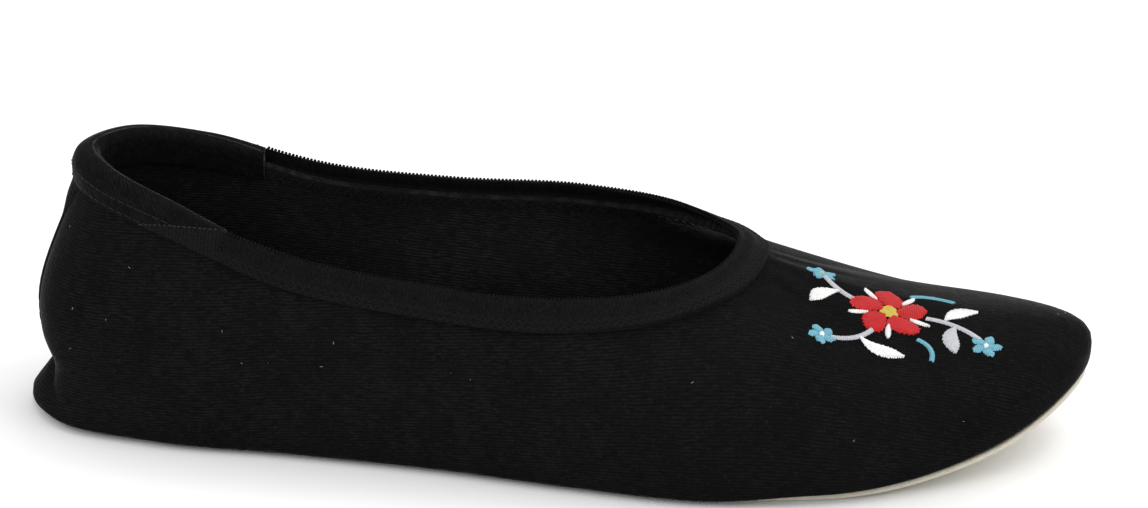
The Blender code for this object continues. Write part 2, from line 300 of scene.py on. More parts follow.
def collar_rows():
    climb = HEEL_HEIGHT - INSTEP_HEIGHT
    lateral = [
        (s.c_along * LENGTH, -s.c_lateral * BALL_WIDTH, INSTEP_HEIGHT + s.h_lateral * climb)
        for s in SECTIONS
    ]
    medial = [
        (s.c_along * LENGTH, s.c_medial * BALL_WIDTH, INSTEP_HEIGHT + s.h_medial * climb)
        for s in SECTIONS
    ]
    return around(lateral, medial)


WIDEST = widest_rows()
COLLAR = collar_rows()


def outward(points, columns):
    """Level unit normals of a closed curve, pointing away from the foot."""
    ahead, back = (closed_curve(points, columns + step)[:, :2] for step in (TANGENT_STEP, -TANGENT_STEP))
    along = ahead - back
    normal = np.column_stack((along[:, 1], -along[:, 0]))
    return normal / np.linalg.norm(normal, axis=1)[:, None]


def column_at(points, distance):
    """Column on the lateral side at a distance from the heel's back along a curve."""
    columns = np.linspace(0, TOE_COLUMN, SIDE_PARTS)
    steps = np.linalg.norm(np.diff(closed_curve(points, columns), axis=0), axis=1)
    return np.interp(distance, np.concatenate(([0.0], np.cumsum(steps))), columns)


def distance_along(points, columns):
    """Distance from the heel's back along a closed curve, and the curve's whole length."""
    fine = np.linspace(0, ROW_COUNT, ROUND_PARTS)
    steps = np.linalg.norm(np.diff(closed_curve(points, fine), axis=0), axis=1)
    run = np.concatenate(([0.0], np.cumsum(steps)))
    return np.interp(np.mod(columns, ROW_COUNT), fine, run), run[-1]


def heel_distance(columns):
    """Distance from the heel's back along the widest line, on either side."""
    distance, whole = distance_along(WIDEST, columns)
    return np.minimum(distance, whole - distance)


# The last: sole line and outer face of the upper

def sole_height(x, y):
    """Underside of the sole: level at heel and ball, with a medial arch and toe spring."""
    spring = np.clip((x / LENGTH - SPRING_START) / (1 - SPRING_START), 0, None)
    arch = np.clip((x / LENGTH - ARCH_START) / (ARCH_END - ARCH_START), 0, 1)
    inner = np.clip(y / (ARCH_REACH * BALL_WIDTH), 0, 1)
    return TOE_SPRING * spring**SPRING_POWER + ARCH_RISE * np.sin(np.pi * arch) ** 2 * inner


def bezier(p0, p1, p2, p3, count):
    s = np.linspace(0, 1, count)[None, :, None]
    p0, p1, p2, p3 = (p[:, None] for p in (p0, p1, p2, p3))
    return (1 - s) ** 3 * p0 + 3 * s * (1 - s) ** 2 * p1 + 3 * s**2 * (1 - s) * p2 + s**3 * p3


def upright(heights):
    return np.column_stack((np.zeros_like(heights), np.zeros_like(heights), heights))


def fold_depth(from_back, height):
    """How far the folds press the heel in, at a distance from its back and a height."""
    return sum(
        fold.depth * np.exp(-((from_back / fold.reach) ** 2) - ((height - fold.height) / fold.spread) ** 2)
        for fold in FOLDS
    )


SAMPLES = 61
CORNER = 0.8


def profiles(columns):
    """Closely spaced points of the outer face, from the collar down and under, for each column."""
    plan = closed_curve(WIDEST, columns)
    away = outward(WIDEST, columns)
    floor = sole_height(plan[:, 0], plan[:, 1])
    widest = np.column_stack((plan, floor + section_values("side", columns)))
    collar = closed_curve(COLLAR, columns)

    lean = np.radians(section_values("lean", columns))
    collar_away = outward(COLLAR, columns)
    leave = np.column_stack((collar_away * np.cos(lean)[:, None], -np.sin(lean)))
    reach = section_values("reach", columns)[:, None]
    rise = upright(section_values("rise", columns))
    wall = bezier(collar, collar + leave * reach, widest + rise, widest, SAMPLES)

    turn = edge_values("turn", columns)[:, None]
    lip_plan = plan - away * turn
    lip_height = sole_height(lip_plan[:, 0], lip_plan[:, 1]) + edge_values("lip", columns)
    lip = np.column_stack((lip_plan, lip_height))
    drop = upright(CORNER * (widest[:, 2] - lip_height))
    sideways = np.column_stack((away * turn * CORNER, np.zeros(len(columns))))
    under = bezier(widest, widest - drop, lip + sideways, lip, SAMPLES)

    points = np.concatenate((wall, under[:, 1:]), axis=1)
    over_sole = points[:, :, 2] - floor[:, None]
    turned_in = np.einsum("cpk,ck->cp", plan[:, None, :] - points[:, :, :2], away)
    pressed = fold_depth(heel_distance(columns)[:, None], over_sole)
    pressed *= 1 - np.clip(turned_in / turn, 0, 1) ** 2
    points[:, :, :2] -= pressed[:, :, None] * away[:, None, :]
    return points


def run_lengths(points):
    """Distance below the collar of every profile point."""
    steps = np.linalg.norm(np.diff(points, axis=1), axis=2)
    return np.concatenate((np.zeros((len(points), 1)), np.cumsum(steps, axis=1)), axis=1)


def face_points(columns, below):
    """Points of the outer face: a row for each column, at distances below the collar."""
    points = profiles(columns)
    runs = run_lengths(points)
    return np.array([
        np.column_stack([np.interp(down, run, line[:, axis]) for axis in range(3)])
        for line, run, down in zip(points, runs, below)
    ])


def unit(vectors):
    return vectors / np.linalg.norm(vectors, axis=-1, keepdims=True)


def face_normals(columns, below):
    """Unit normals of the outer face at the same points, pointing out of the shoe."""
    across = face_points(columns + NORMAL_STEP, below) - face_points(columns - NORMAL_STEP, below)
    higher = np.maximum(below - NORMAL_DROP, 0)
    down = face_points(columns, below + NORMAL_DROP) - face_points(columns, higher)
    return unit(np.cross(down, across))


def sole_outline(columns, inset):
    return closed_curve(WIDEST, columns) - outward(WIDEST, columns) * inset[:, None]


def frame_shift():
    """From the shape's own axes to the frame's, by the middle of the outsole's box."""
    columns = np.arange(ROW_COUNT * CAD_SOLE_COLUMNS) / CAD_SOLE_COLUMNS
    outline = sole_outline(columns, edge_values("sole", columns))
    own = (outline.min(axis=0) + outline.max(axis=0)) / 2
    low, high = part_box("outsole")
    return np.array(((low.x + high.x) / 2 / MM - own[0], (low.y + high.y) / 2 / MM - own[1], 0.0))


SHIFT = frame_shift()


# Node trees, for finishes and for what repeats

# Sockets by number, on nodes where others have the same name
MIX_SHARE, MIX_FIRST, MIX_SECOND, MIX_COLOUR = 0, 6, 7, 2
RANDOM_LOW, RANDOM_HIGH, RANDOM_SEED, RANDOM_NUMBER = 2, 3, 8, 1


class Value:
    """A number in a node tree. Arithmetic on it adds Math nodes."""

    def __init__(self, tree, socket):
        self.tree = tree
        self.socket = socket

    def maths(self, operation, *operands):
        return self.tree.value("ShaderNodeMath", {"operation": operation}, dict(enumerate(operands)))

    def __add__(self, other):
        return self.maths("ADD", self, other)

    def __sub__(self, other):
        return self.maths("SUBTRACT", self, other)

    def __rsub__(self, other):
        return self.maths("SUBTRACT", other, self)

    def __mul__(self, other):
        return self.maths("MULTIPLY", self, other)

    def __truediv__(self, other):
        return self.maths("DIVIDE", self, other)

    def __pow__(self, other):
        return self.maths("POWER", self, other)

    def __mod__(self, other):
        return self.maths("FLOORED_MODULO", self, other)

    __radd__ = __add__
    __rmul__ = __mul__

    def floor(self):
        return self.maths("FLOOR", self)

    def wave(self):
        """Even wave from 0 to 1 with one crest for each whole number."""
        return self.maths("COSINE", self * math.tau) * 0.5 + 0.5

    def centred(self, weight):
        """The value less a half, as a noise that adds as much as it takes away, times a weight."""
        return (self - 0.5) * weight

    def between(self, low, high):
        """0 at the low value, 1 at the high one, with soft ends."""
        settings = {"interpolation_type": "SMOOTHSTEP"}
        sockets = {"Value": self, "From Min": low, "From Max": high}
        return self.tree.value("ShaderNodeMapRange", settings, sockets)


class Tree:
    """A node tree under construction."""

    def __init__(self, tree):
        self.tree = tree

    def node(self, kind, settings=None, sockets=None):
        """New node of a type: its settings are made first, then its sockets are filled or linked."""
        made = self.tree.nodes.new(kind)
        for name, value in (settings or {}).items():
            setattr(made, name, value)
        for name, value in (sockets or {}).items():
            self.fill(made.inputs[name], value)
        return made

    def fill(self, socket, value):
        source = value.socket if isinstance(value, Value) else value
        if isinstance(source, bpy.types.NodeSocket):
            self.tree.links.new(source, socket)
        else:
            socket.default_value = source

    def value(self, kind, settings=None, sockets=None, output=0):
        return Value(self, self.node(kind, settings, sockets).outputs[output])


class Finish(Tree):
    """A material under construction: a Principled shader and the nodes that feed it."""

    def __init__(self, name, constants):
        self.material = bpy.data.materials.new(name)
        self.material.use_nodes = True
        super().__init__(self.material.node_tree)
        self.shader = self.tree.nodes["Principled BSDF"]
        for socket, value in constants.items():
            self.shader.inputs[socket].default_value = value
        self.place = self.node("ShaderNodeTexCoord").outputs["Object"]

    def feed(self, socket, value):
        self.fill(self.shader.inputs[socket], value)

    def noise(self, grain, detail=2.0, roughness=0.55):
        """Noise with grains of about the given size in metres."""
        sockets = {"Vector": self.place, "Scale": 1 / grain, "Detail": detail, "Roughness": roughness}
        return self.value("ShaderNodeTexNoise", None, sockets)

    def cloth(self):
        """Place on the cloth in millimetres: along its ribs and across them."""
        chart = self.node("ShaderNodeUVMap", {"uv_map": CLOTH_MAP})
        parts = self.node("ShaderNodeSeparateXYZ", None, {0: chart.outputs["UV"]})
        return Value(self, parts.outputs["X"]), Value(self, parts.outputs["Y"])

    def streaks(self, along, across):
        """Noise with grains one unit long and one unit wide on a chart of its own."""
        chart = self.node("ShaderNodeCombineXYZ", None, {"X": along, "Y": across}).outputs[0]
        return self.value("ShaderNodeTexNoise", None, {"Vector": chart, "Scale": 1.0, "Detail": 1.0})

    def mix(self, share, first, second):
        """Colour between two colours."""
        sockets = {MIX_SHARE: share, MIX_FIRST: first, MIX_SECOND: second}
        return self.node("ShaderNodeMix", {"data_type": "RGBA"}, sockets).outputs[MIX_COLOUR]

    def relief(self, height, depth):
        """Bump whose height of 1 stands for a depth in metres."""
        sockets = {"Height": height, "Distance": depth, "Strength": 1.0}
        self.feed("Normal", self.node("ShaderNodeBump", None, sockets).outputs["Normal"])


class Maker(Tree):
    """Geometry Nodes under construction, with named inputs."""

    def __init__(self, name, inputs):
        super().__init__(bpy.data.node_groups.new(name, "GeometryNodeTree"))
        self.socket("Geometry", "NodeSocketGeometry", "INPUT")
        for label, kind in inputs:
            self.socket(label, kind, "INPUT")
        self.socket("Geometry", "NodeSocketGeometry", "OUTPUT")
        self.inputs = self.node("NodeGroupInput").outputs

    def socket(self, label, kind, side):
        self.tree.interface.new_socket(label, in_out=side, socket_type=kind)

    def given(self, label):
        return Value(self, self.inputs[label])

    def attribute(self, name):
        sockets = {"Name": name}
        return self.node("GeometryNodeInputNamedAttribute", {"data_type": "FLOAT_VECTOR"}, sockets).outputs[0]

    def random(self, low, high, seed):
        """Random number for each point, with a fixed seed."""
        sockets = {RANDOM_LOW: low, RANDOM_HIGH: high, RANDOM_SEED: seed}
        return self.value("FunctionNodeRandomValue", {"data_type": "FLOAT"}, sockets, RANDOM_NUMBER)

    def tube(self, curve, girth, sides):
        """Smooth closed tube along a curve."""
        ring = self.node("GeometryNodeCurvePrimitiveCircle", None, {"Resolution": sides, "Radius": girth})
        sockets = {"Curve": curve, "Profile Curve": ring.outputs["Curve"], "Fill Caps": True}
        return self.node("GeometryNodeCurveToMesh", None, sockets).outputs["Mesh"]

    def finish(self, geometry):
        """Last nodes: real geometry, smooth, with the given material."""
        real = self.node("GeometryNodeRealizeInstances", None, {"Geometry": geometry})
        smooth = self.node("GeometryNodeSetShadeSmooth", None, {"Geometry": real.outputs[0]})
        sockets = {"Geometry": smooth.outputs[0], "Material": self.inputs["Material"]}
        dressed = self.node("GeometryNodeSetMaterial", None, sockets)
        self.node("NodeGroupOutput", None, {"Geometry": dressed.outputs[0]})
        return self.tree


THREAD_STEPS = 6
THREAD_SIDES = 6
THREAD_DIP = 0.6
LINT_STEPS = 5
LINT_SIDES = 5
LINT_BEND = (0.4, 0.3, 0.2)
LINT_END = (1.0, -0.1, 0.05)
LINT_SCALES = (0.4, 1.5)
LINT_TURN_SEED = 11
LINT_SCALE_SEED = 12


@functools.lru_cache(maxsize=None)
def stitch_tree():
    """Threads laid along a guide line at an even pitch, turned by a slant, every other one backwards."""
    numbers = ("Pitch", "Length", "Girth", "Arch")
    inputs = [(label, "NodeSocketFloat") for label in numbers + ("Slant", "Swing")]
    maker = Maker("Stitch row", inputs + [("Material", "NodeSocketMaterial")])
    line = maker.node("GeometryNodeMeshToCurve", None, {0: maker.inputs["Geometry"]})
    sockets = {"Curve": line.outputs[0], "Length": maker.inputs["Pitch"]}
    dots = maker.node("GeometryNodeCurveToPoints", {"mode": "LENGTH"}, sockets)

    settings = {"primary_axis": "Z", "secondary_axis": "X"}
    sockets = {"Primary Axis": maker.attribute(OUTWARD), "Secondary Axis": dots.outputs["Tangent"]}
    flat = maker.node("FunctionNodeAxesToRotation", settings, sockets)
    index = Value(maker, maker.node("GeometryNodeInputIndex").outputs[0])
    angle = maker.given("Slant") + maker.given("Swing") * (index % 2 * 2 - 1)
    spin = maker.node("FunctionNodeAxisAngleToRotation", None, {"Axis": (0, 0, 1), "Angle": angle})
    sockets = {"Rotation": flat.outputs[0], "Rotate By": spin.outputs[0]}
    turned = maker.node("FunctionNodeRotateRotation", {"rotation_space": "LOCAL"}, sockets)

    half = maker.given("Length") * 0.5
    dip = maker.given("Girth") * -THREAD_DIP
    start = maker.node("ShaderNodeCombineXYZ", None, {"X": half * -1, "Z": dip})
    middle = maker.node("ShaderNodeCombineXYZ", None, {"Z": maker.given("Arch") * 2})
    end = maker.node("ShaderNodeCombineXYZ", None, {"X": half, "Z": dip})
    sockets = {"Start": start.outputs[0], "Middle": middle.outputs[0], "End": end.outputs[0]}
    sockets["Resolution"] = THREAD_STEPS
    bow = maker.node("GeometryNodeCurveQuadraticBezier", None, sockets)
    sockets = {
        "Points": dots.outputs["Points"],
        "Instance": maker.tube(bow.outputs["Curve"], maker.given("Girth"), THREAD_SIDES),
        "Rotation": turned.outputs[0],
    }
    return maker.finish(maker.node("GeometryNodeInstanceOnPoints", None, sockets).outputs[0])


@functools.lru_cache(maxsize=None)
def satin_tree():
    """Each line of a mesh becomes a thread that bows out of the cloth between its ends."""
    inputs = [("Girth", "NodeSocketFloat"), ("Arch", "NodeSocketFloat"), ("Material", "NodeSocketMaterial")]
    maker = Maker("Satin threads", inputs)
    line = maker.node("GeometryNodeMeshToCurve", None, {0: maker.inputs["Geometry"]})
    share = Value(maker, maker.node("GeometryNodeSplineParameter").outputs["Factor"])
    bow = maker.given("Arch") * 4 * share * (1 - share)
    sockets = {0: maker.attribute(OUTWARD), "Scale": bow}
    lift = maker.node("ShaderNodeVectorMath", {"operation": "SCALE"}, sockets)
    sockets = {"Geometry": line.outputs[0], "Offset": lift.outputs[0]}
    bowed = maker.node("GeometryNodeSetPosition", None, sockets)
    return maker.finish(maker.tube(bowed.outputs[0], maker.given("Girth"), THREAD_SIDES))


@functools.lru_cache(maxsize=None)
def lint_tree():
    """Short bent fibres scattered over a surface, with a fixed seed."""
    inputs = [("Density", "NodeSocketFloat"), ("Length", "NodeSocketFloat"), ("Girth", "NodeSocketFloat")]
    maker = Maker("Lint", inputs + [("Seed", "NodeSocketInt"), ("Material", "NodeSocketMaterial")])
    sockets = {
        "Mesh": maker.inputs["Geometry"],
        "Density": maker.inputs["Density"],
        "Seed": maker.inputs["Seed"],
    }
    dots = maker.node("GeometryNodeDistributePointsOnFaces", {"distribute_method": "RANDOM"}, sockets)
    turn = maker.random(0.0, math.tau, LINT_TURN_SEED)
    spin = maker.node("FunctionNodeAxisAngleToRotation", None, {"Axis": (0, 0, 1), "Angle": turn})
    sockets = {"Rotation": dots.outputs["Rotation"], "Rotate By": spin.outputs[0]}
    turned = maker.node("FunctionNodeRotateRotation", {"rotation_space": "LOCAL"}, sockets)
    length = maker.given("Length")
    middle, end = (
        maker.node("ShaderNodeCombineXYZ", None, {axis: length * part for axis, part in zip("XYZ", parts)})
        for parts in (LINT_BEND, LINT_END)
    )
    sockets = {"Start": (0, 0, 0), "Middle": middle.outputs[0], "End": end.outputs[0]}
    sockets["Resolution"] = LINT_STEPS
    fibre = maker.node("GeometryNodeCurveQuadraticBezier", None, sockets)
    sockets = {
        "Points": dots.outputs["Points"],
        "Instance": maker.tube(fibre.outputs["Curve"], maker.given("Girth"), LINT_SIDES),
        "Rotation": turned.outputs[0],
        "Scale": maker.random(*LINT_SCALES, LINT_SCALE_SEED),
    }
    return maker.finish(maker.node("GeometryNodeInstanceOnPoints", None, sockets).outputs[0])


# Meshes

CLOTH_MAP = "cloth"
OUTWARD = "outward"


def in_frame(points):
    """Points of the shape in the frame's axes and metres."""
    return ((points + SHIFT) * MM).tolist()


def grid_corners(columns, places):
    """Column and place of the four corners of each face on a grid of faces."""
    column, place = np.meshgrid(np.arange(columns), np.arange(places), indexing="ij")
    column = np.stack((column, column, column + 1, column + 1), axis=-1).reshape(-1, 4)
    place = np.stack((place, place + 1, place + 1, place), axis=-1).reshape(-1, 4)
    return column, place


def ring_faces(column_count, row_count):
    """Faces of a grid of points whose last column meets its first."""
    column, row = grid_corners(column_count, row_count - 1)
    return (column % column_count * row_count + row).tolist()


def signed_volume(points, quads, caps):
    """Volume inside a closed mesh, negative where its faces point inwards."""
    triangles = [quads[:, (0, 1, 2)], quads[:, (0, 2, 3)]]
    for cap in caps:
        triangles += [np.array([(cap[0], cap[i], cap[i + 1]) for i in range(1, len(cap) - 1)])]
    corners = points[np.concatenate(triangles)]
    return np.einsum("ij,ij->", corners[:, 0], np.cross(corners[:, 1], corners[:, 2])) / 6


def sweep_chart(sections):
    """Cloth map of a sweep: distance along it and distance round its section."""
    along = np.linalg.norm(np.diff(sections, axis=0), axis=2).mean(axis=1)
    round_it = np.linalg.norm(np.diff(sections, axis=1), axis=2).mean(axis=0)
    u = np.concatenate(([0.0], np.cumsum(along)))
    v = np.concatenate(([0.0], np.cumsum(round_it)))
    return np.stack(np.meshgrid(u, v, indexing="ij"), axis=-1)


def sweep_mesh(name, sections, closed=False, chart=None, open_sections=False):
    """Mesh through closed or open sections, its corners mapped in millimetres of cloth."""
    column_count, place_count, _ = sections.shape
    steps = place_count - 1 if open_sections else place_count
    points = sections.reshape(-1, 3)
    runs = column_count if closed else column_count - 1
    column, place = grid_corners(runs, steps)
    place = place % place_count
    quads = column % column_count * place_count + place
    ring = np.arange(place_count)
    caps = [] if closed else [ring[::-1], ring + (column_count - 1) * place_count]
    if signed_volume(points, quads, caps) < 0:
        quads, column, place = quads[:, ::-1], column[:, ::-1], place[:, ::-1]
        caps = [cap[::-1] for cap in caps]

    mesh = bpy.data.meshes.new(name)
    faces = quads.tolist() + [cap.tolist() for cap in caps]
    mesh.from_pydata(in_frame(points), [], faces)
    if chart is None:
        chart = sweep_chart(np.concatenate((sections, sections[:1])) if closed else sections)
    corners = [chart[column, place].reshape(-1, 2)]
    corners += [chart.reshape(-1, 2)[cap] for cap in caps]
    layer = mesh.uv_layers.new(name=CLOTH_MAP)
    layer.uv.foreach_set("vector", np.concatenate(corners).astype(np.float32).ravel())
    return mesh


def add_piece(name, mesh, materials, sharp_angle=50.0):
    """New object with a smooth mesh and its materials."""
    for material in materials:
        mesh.materials.append(material)
    mesh.shade_smooth()
    mesh.set_sharp_from_angle(angle=math.radians(sharp_angle))
    piece = bpy.data.objects.new(name, mesh)
    bpy.context.scene.collection.objects.link(piece)
    return piece


def settle(piece, slot, *nodes):
    """A finished piece rides on the slipper and may stand for CAD nodes, which it hides; the slot is not
    used.
    """
    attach(piece, BODY)
    if nodes:
        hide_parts(*nodes)
    return piece


def lines_mesh(name, lines):
    """Mesh of open lines, given as pairs of points and the outward directions there."""
    points, normals = zip(*lines)
    starts = np.cumsum([0] + [len(line) for line in points])
    edges = [(i, i + 1) for first, last in zip(starts, starts[1:]) for i in range(first, last - 1)]
    mesh = bpy.data.meshes.new(name)
    mesh.from_pydata(in_frame(np.concatenate(points)), edges, [])
    attribute = mesh.attributes.new(OUTWARD, "FLOAT_VECTOR", "POINT")
    attribute.data.foreach_set("vector", np.concatenate(normals).astype(np.float32).ravel())
    return mesh


def grow(name, guide, tree, inputs):
    """New piece: the plain mesh that a tree of Geometry Nodes makes of a guide mesh."""
    piece = bpy.data.objects.new(name, guide)
    bpy.context.scene.collection.objects.link(piece)
    modifier = piece.modifiers.new(tree.name, "NODES")
    modifier.node_group = tree
    for item in tree.interface.items_tree:
        if item.in_out == "INPUT" and item.name in inputs:
            modifier[item.identifier] = inputs[item.name]
    depsgraph = bpy.context.evaluated_depsgraph_get()
    made = bpy.data.meshes.new_from_object(piece.evaluated_get(depsgraph))
    piece.modifiers.remove(modifier)
    piece.data = made
    bpy.data.meshes.remove(guide)
    made.name = name
    if not made.polygons:
        raise RuntimeError(f"{name} came out empty")
    return piece


class Stitch(NamedTuple):
    """A row of stitches: pitch and length in millimetres, slant and swing in degrees, arch in radii."""

    pitch: float
    length: float
    slant: float = 0.0
    swing: float = 0.0
    arch: float = 1.0


def sew(name, slot, lines, stitch, girth, thread):
    """New piece: a stitch row along lines, in thread of a radius and finish."""
    inputs = {
        "Pitch": stitch.pitch * MM, "Length": stitch.length * MM, "Girth": girth,
        "Arch": girth * stitch.arch, "Slant": math.radians(stitch.slant),
        "Swing": math.radians(stitch.swing), "Material": thread,
    }
    settle(grow(name, lines_mesh(name, lines), stitch_tree(), inputs), slot)


def face_line(columns, below, offset, side=1.0):
    """Line on the outer face at distances below the collar and off the face, and its outward directions."""
    below = np.broadcast_to(np.asarray(below, float), columns.shape)[:, None]
    offset = np.broadcast_to(np.asarray(offset, float), columns.shape)[:, None]
    normals = face_normals(columns, below)[:, 0]
    return face_points(columns, below)[:, 0] + offset * normals, side * normals


def arc(middle, radii, start, end, steps):
    """Points of an arc in a section, with its angles in degrees."""
    angles = np.radians(np.linspace(start, end, steps))
    return [(middle[0] + radii[0] * math.cos(a), middle[1] + radii[1] * math.sin(a)) for a in angles]


# Sizes and colours

ELASTIC_RIB = 0.72


def size(label, description, millimetres):
    return bpy.props.FloatProperty(
        name=label, description=description, default=millimetres * MM, min=0.0, unit="LENGTH", precision=5
    )


def tint(label, description, colour):
    return bpy.props.FloatVectorProperty(
        name=label, description=description, default=colour, size=3, min=0.0, max=1.0, subtype="COLOR"
    )


class SlipperSizes(bpy.types.PropertyGroup):
    """Sizes of cloth, trim and threads"""

    rib_pitch: size("Cloth rib pitch", "Distance between the ribs of the cloth", 0.62)
    rib_depth: size("Cloth rib depth", "Relief of the ribs of the cloth", 0.07)
    rib_slope: bpy.props.FloatProperty(
        name="Cloth rib slope", description="How far the ribs rise to the toe", default=math.radians(6),
        subtype="ANGLE",
    )
    crease_depth: bpy.props.FloatProperty(
        name="Crease depth", description="Share of the creases' own depth", default=1.0, min=0.0,
        subtype="FACTOR",
    )
    gather_pitch: size("Gather pitch", "Distance between the gathers below the elastic", 5.5)
    gather_depth: size("Gather depth", "Depth of the gathers below the elastic", 0.05)
    elastic_pitch: size("Elastic rib pitch", "Distance between the elastic's cross ribs", ELASTIC_RIB)
    elastic_girth: size("Elastic rib girth", "Radius of the elastic's cross ribs", 0.28)
    stitch_girth: size("Stitch girth", "Radius of the sewing thread", 0.11)
    satin_girth: size("Satin girth", "Radius of the embroidery thread", 0.20)
    satin_pitch: size("Satin pitch", "Distance between embroidery threads", 0.36)
    satin_arch: size("Satin arch", "How far embroidery threads bow out of the cloth", 0.30)
    lint_length: size("Lint length", "Length of the lint fibres", 0.36)
    lint_girth: size("Lint girth", "Radius of the lint fibres", 0.022)


class SlipperColours(bpy.types.PropertyGroup):
    """Colours of the slipper and its floor"""

    cloth: tint("Cloth", "Black ribbed cloth", (0.0039, 0.0039, 0.0040))
    lining: tint("Lining", "Inner face of the cloth", (0.0075, 0.0075, 0.0077))
    elastic: tint("Elastic", "Ribbed elastic of the collar", (0.0060, 0.0060, 0.0062))
    seam: tint("Seam", "Grey thread of the seams over the elastic's ends", (0.0190, 0.0190, 0.0190))
    # Painted light: the strip's tape is lighter than the black cloth to lift the shade its edge gets beside
    # the heel's bulge.
    strip: tint("Strip", "Tape over the back seam", (0.0068, 0.0068, 0.0070))
    thread: tint("Thread", "Black sewing thread", (0.0075, 0.0075, 0.0077))
    sole: tint("Sole", "Napped leather of the sole", (0.5200, 0.4800, 0.3900))
    insole: tint("Insole", "Cotton of the insole", (0.0600, 0.0600, 0.0630))
    red: tint("Red", "Red embroidery thread", (0.4250, 0.0100, 0.0118))
    white: tint("White", "White embroidery thread", (0.7200, 0.7200, 0.7100))
    grey: tint("Grey", "Silver-grey embroidery thread", (0.4400, 0.4500, 0.4800))
    blue: tint("Blue", "Light blue embroidery thread", (0.1400, 0.3500, 0.4400))
    yellow: tint("Yellow", "Yellow embroidery thread", (0.4850, 0.3780, 0.0660))
    lint: tint("Lint", "Lint on the cloth", (0.3500, 0.3500, 0.3400))
    floor: tint("Floor", "Pale studio floor", (0.9200, 0.9200, 0.9200))


def rgba(colour, share=1.0):
    return (*(share * part for part in colour), 1.0)


# Finishes: lengths on the cloth in millimetres, depths of relief in metres

RIBS_FADE = (-20.0, 50.0)
RIB_FLATNESS = 0.8
FLOAT_LENGTH = 1.5
FLOAT_SHIFT = 0.37
STREAK_LENGTH = 2.4
YARN_PITCH = 0.42
KNOT_PITCH = 0.55
WEAVE_DEPTH = 0.06 * MM
WEBBING_DEPTH = 0.07 * MM
PLY_DEPTH = 0.05 * MM
NAP_DEPTH = 0.14 * MM


def ribbed_cloth(name, colour, sizes, slope):
    """Cotton with fine broken ribs of short yarn floats, a velvety nap and hardly any gloss."""
    finish = Finish(name, {"Sheen Weight": 0.20, "Sheen Roughness": 0.14, "Specular IOR Level": 0.03})
    along, across = finish.cloth()
    wander = finish.noise(14 * MM, 2).centred(1.2) + finish.noise(2.2 * MM, 1).centred(0.5)
    ribs = (across * math.cos(slope) - along * math.sin(slope)) / (sizes.rib_pitch / MM) + wander
    run = along * math.cos(slope) + across * math.sin(slope)
    rib = ribs.wave() ** RIB_FLATNESS
    floats = (run / FLOAT_LENGTH + ribs.floor() * FLOAT_SHIFT).wave()
    fibre = finish.noise(0.16 * MM, 3, 0.7)
    patch = finish.noise(22 * MM, 3)
    specks = finish.noise(0.75 * MM, 2, 0.6).between(0.54, 0.74)
    spot = finish.node("ShaderNodeSeparateXYZ", None, {0: finish.place})
    kept = 1 - (Value(finish, spot.outputs["X"]) / MM).between(*RIBS_FADE) * 0.35
    clear = (finish.noise(7 * MM, 2).between(0.35, 0.65) * 0.6 + 0.4) * kept
    broken = clear * finish.streaks(run / STREAK_LENGTH, ribs).between(0.32, 0.62)
    yarns = rib * broken * (0.7 + floats * 0.25) + specks * 0.5
    shade = yarns + fibre.centred(0.6) + patch.centred(0.35) + 0.24
    finish.feed("Base Color", finish.mix(shade, rgba(colour, 0.4), rgba(colour, 2.1)))
    finish.feed("Roughness", 0.95 - rib * 0.1 + fibre.centred(0.1))
    height = rib * (kept * 0.35 + broken * 0.65) + specks * 0.3 + fibre.centred(0.6)
    finish.relief(height, sizes.rib_depth)
    return finish.material


def plain_cloth(name, colour, pitch):
    """Plain woven cotton, with threads over and under."""
    finish = Finish(name, {"Sheen Weight": 0.1, "Sheen Roughness": 0.5, "Specular IOR Level": 0.2})
    spot = finish.node("ShaderNodeSeparateXYZ", None, {0: finish.place})
    warp = Value(finish, spot.outputs["X"]) / pitch
    weft = (Value(finish, spot.outputs["Y"]) + Value(finish, spot.outputs["Z"])) / pitch
    over = (warp * 0.5 + weft.floor() * 0.5).wave()
    fibre = finish.noise(0.2 * MM, 3, 0.7)
    weave = warp.wave() * over + weft.wave() * (1 - over)
    patch = finish.noise(15 * MM, 2)
    shade = weave * 0.6 + fibre.centred(0.5) + patch.centred(0.3) + 0.15
    finish.feed("Base Color", finish.mix(shade, rgba(colour, 0.6), rgba(colour, 1.5)))
    finish.feed("Roughness", 0.95 - weave * 0.1)
    finish.relief(weave + fibre.centred(0.5), WEAVE_DEPTH)
    return finish.material


def woven_elastic(name, colour, cross_ribs=0.0):
    """Elastic webbing: fine yarns along the tape, with a share of low ribs across it."""
    finish = Finish(name, {"Sheen Weight": 0.02, "Sheen Roughness": 0.4, "Specular IOR Level": 0.03})
    along, across = finish.cloth()
    yarns = (across / YARN_PITCH + finish.noise(3 * MM, 1).centred(0.4)).wave()
    knots = (along / KNOT_PITCH + (across / YARN_PITCH).floor() * 0.5).wave()
    fibre = finish.noise(0.18 * MM, 3, 0.7)
    mottle = finish.noise(0.7 * MM, 2)
    ribs = (along / ELASTIC_RIB).wave() * cross_ribs
    shade = yarns * knots * 0.6 + ribs * 0.5 + fibre.centred(0.5) + mottle.centred(1.1) + 0.1
    finish.feed("Base Color", finish.mix(shade, rgba(colour, 0.55), rgba(colour, 1.7)))
    finish.feed("Roughness", 0.8 - yarns * 0.12)
    finish.relief(yarns * (0.5 + knots * 0.5) + ribs * 2 + fibre.centred(0.4), WEBBING_DEPTH)
    return finish.material


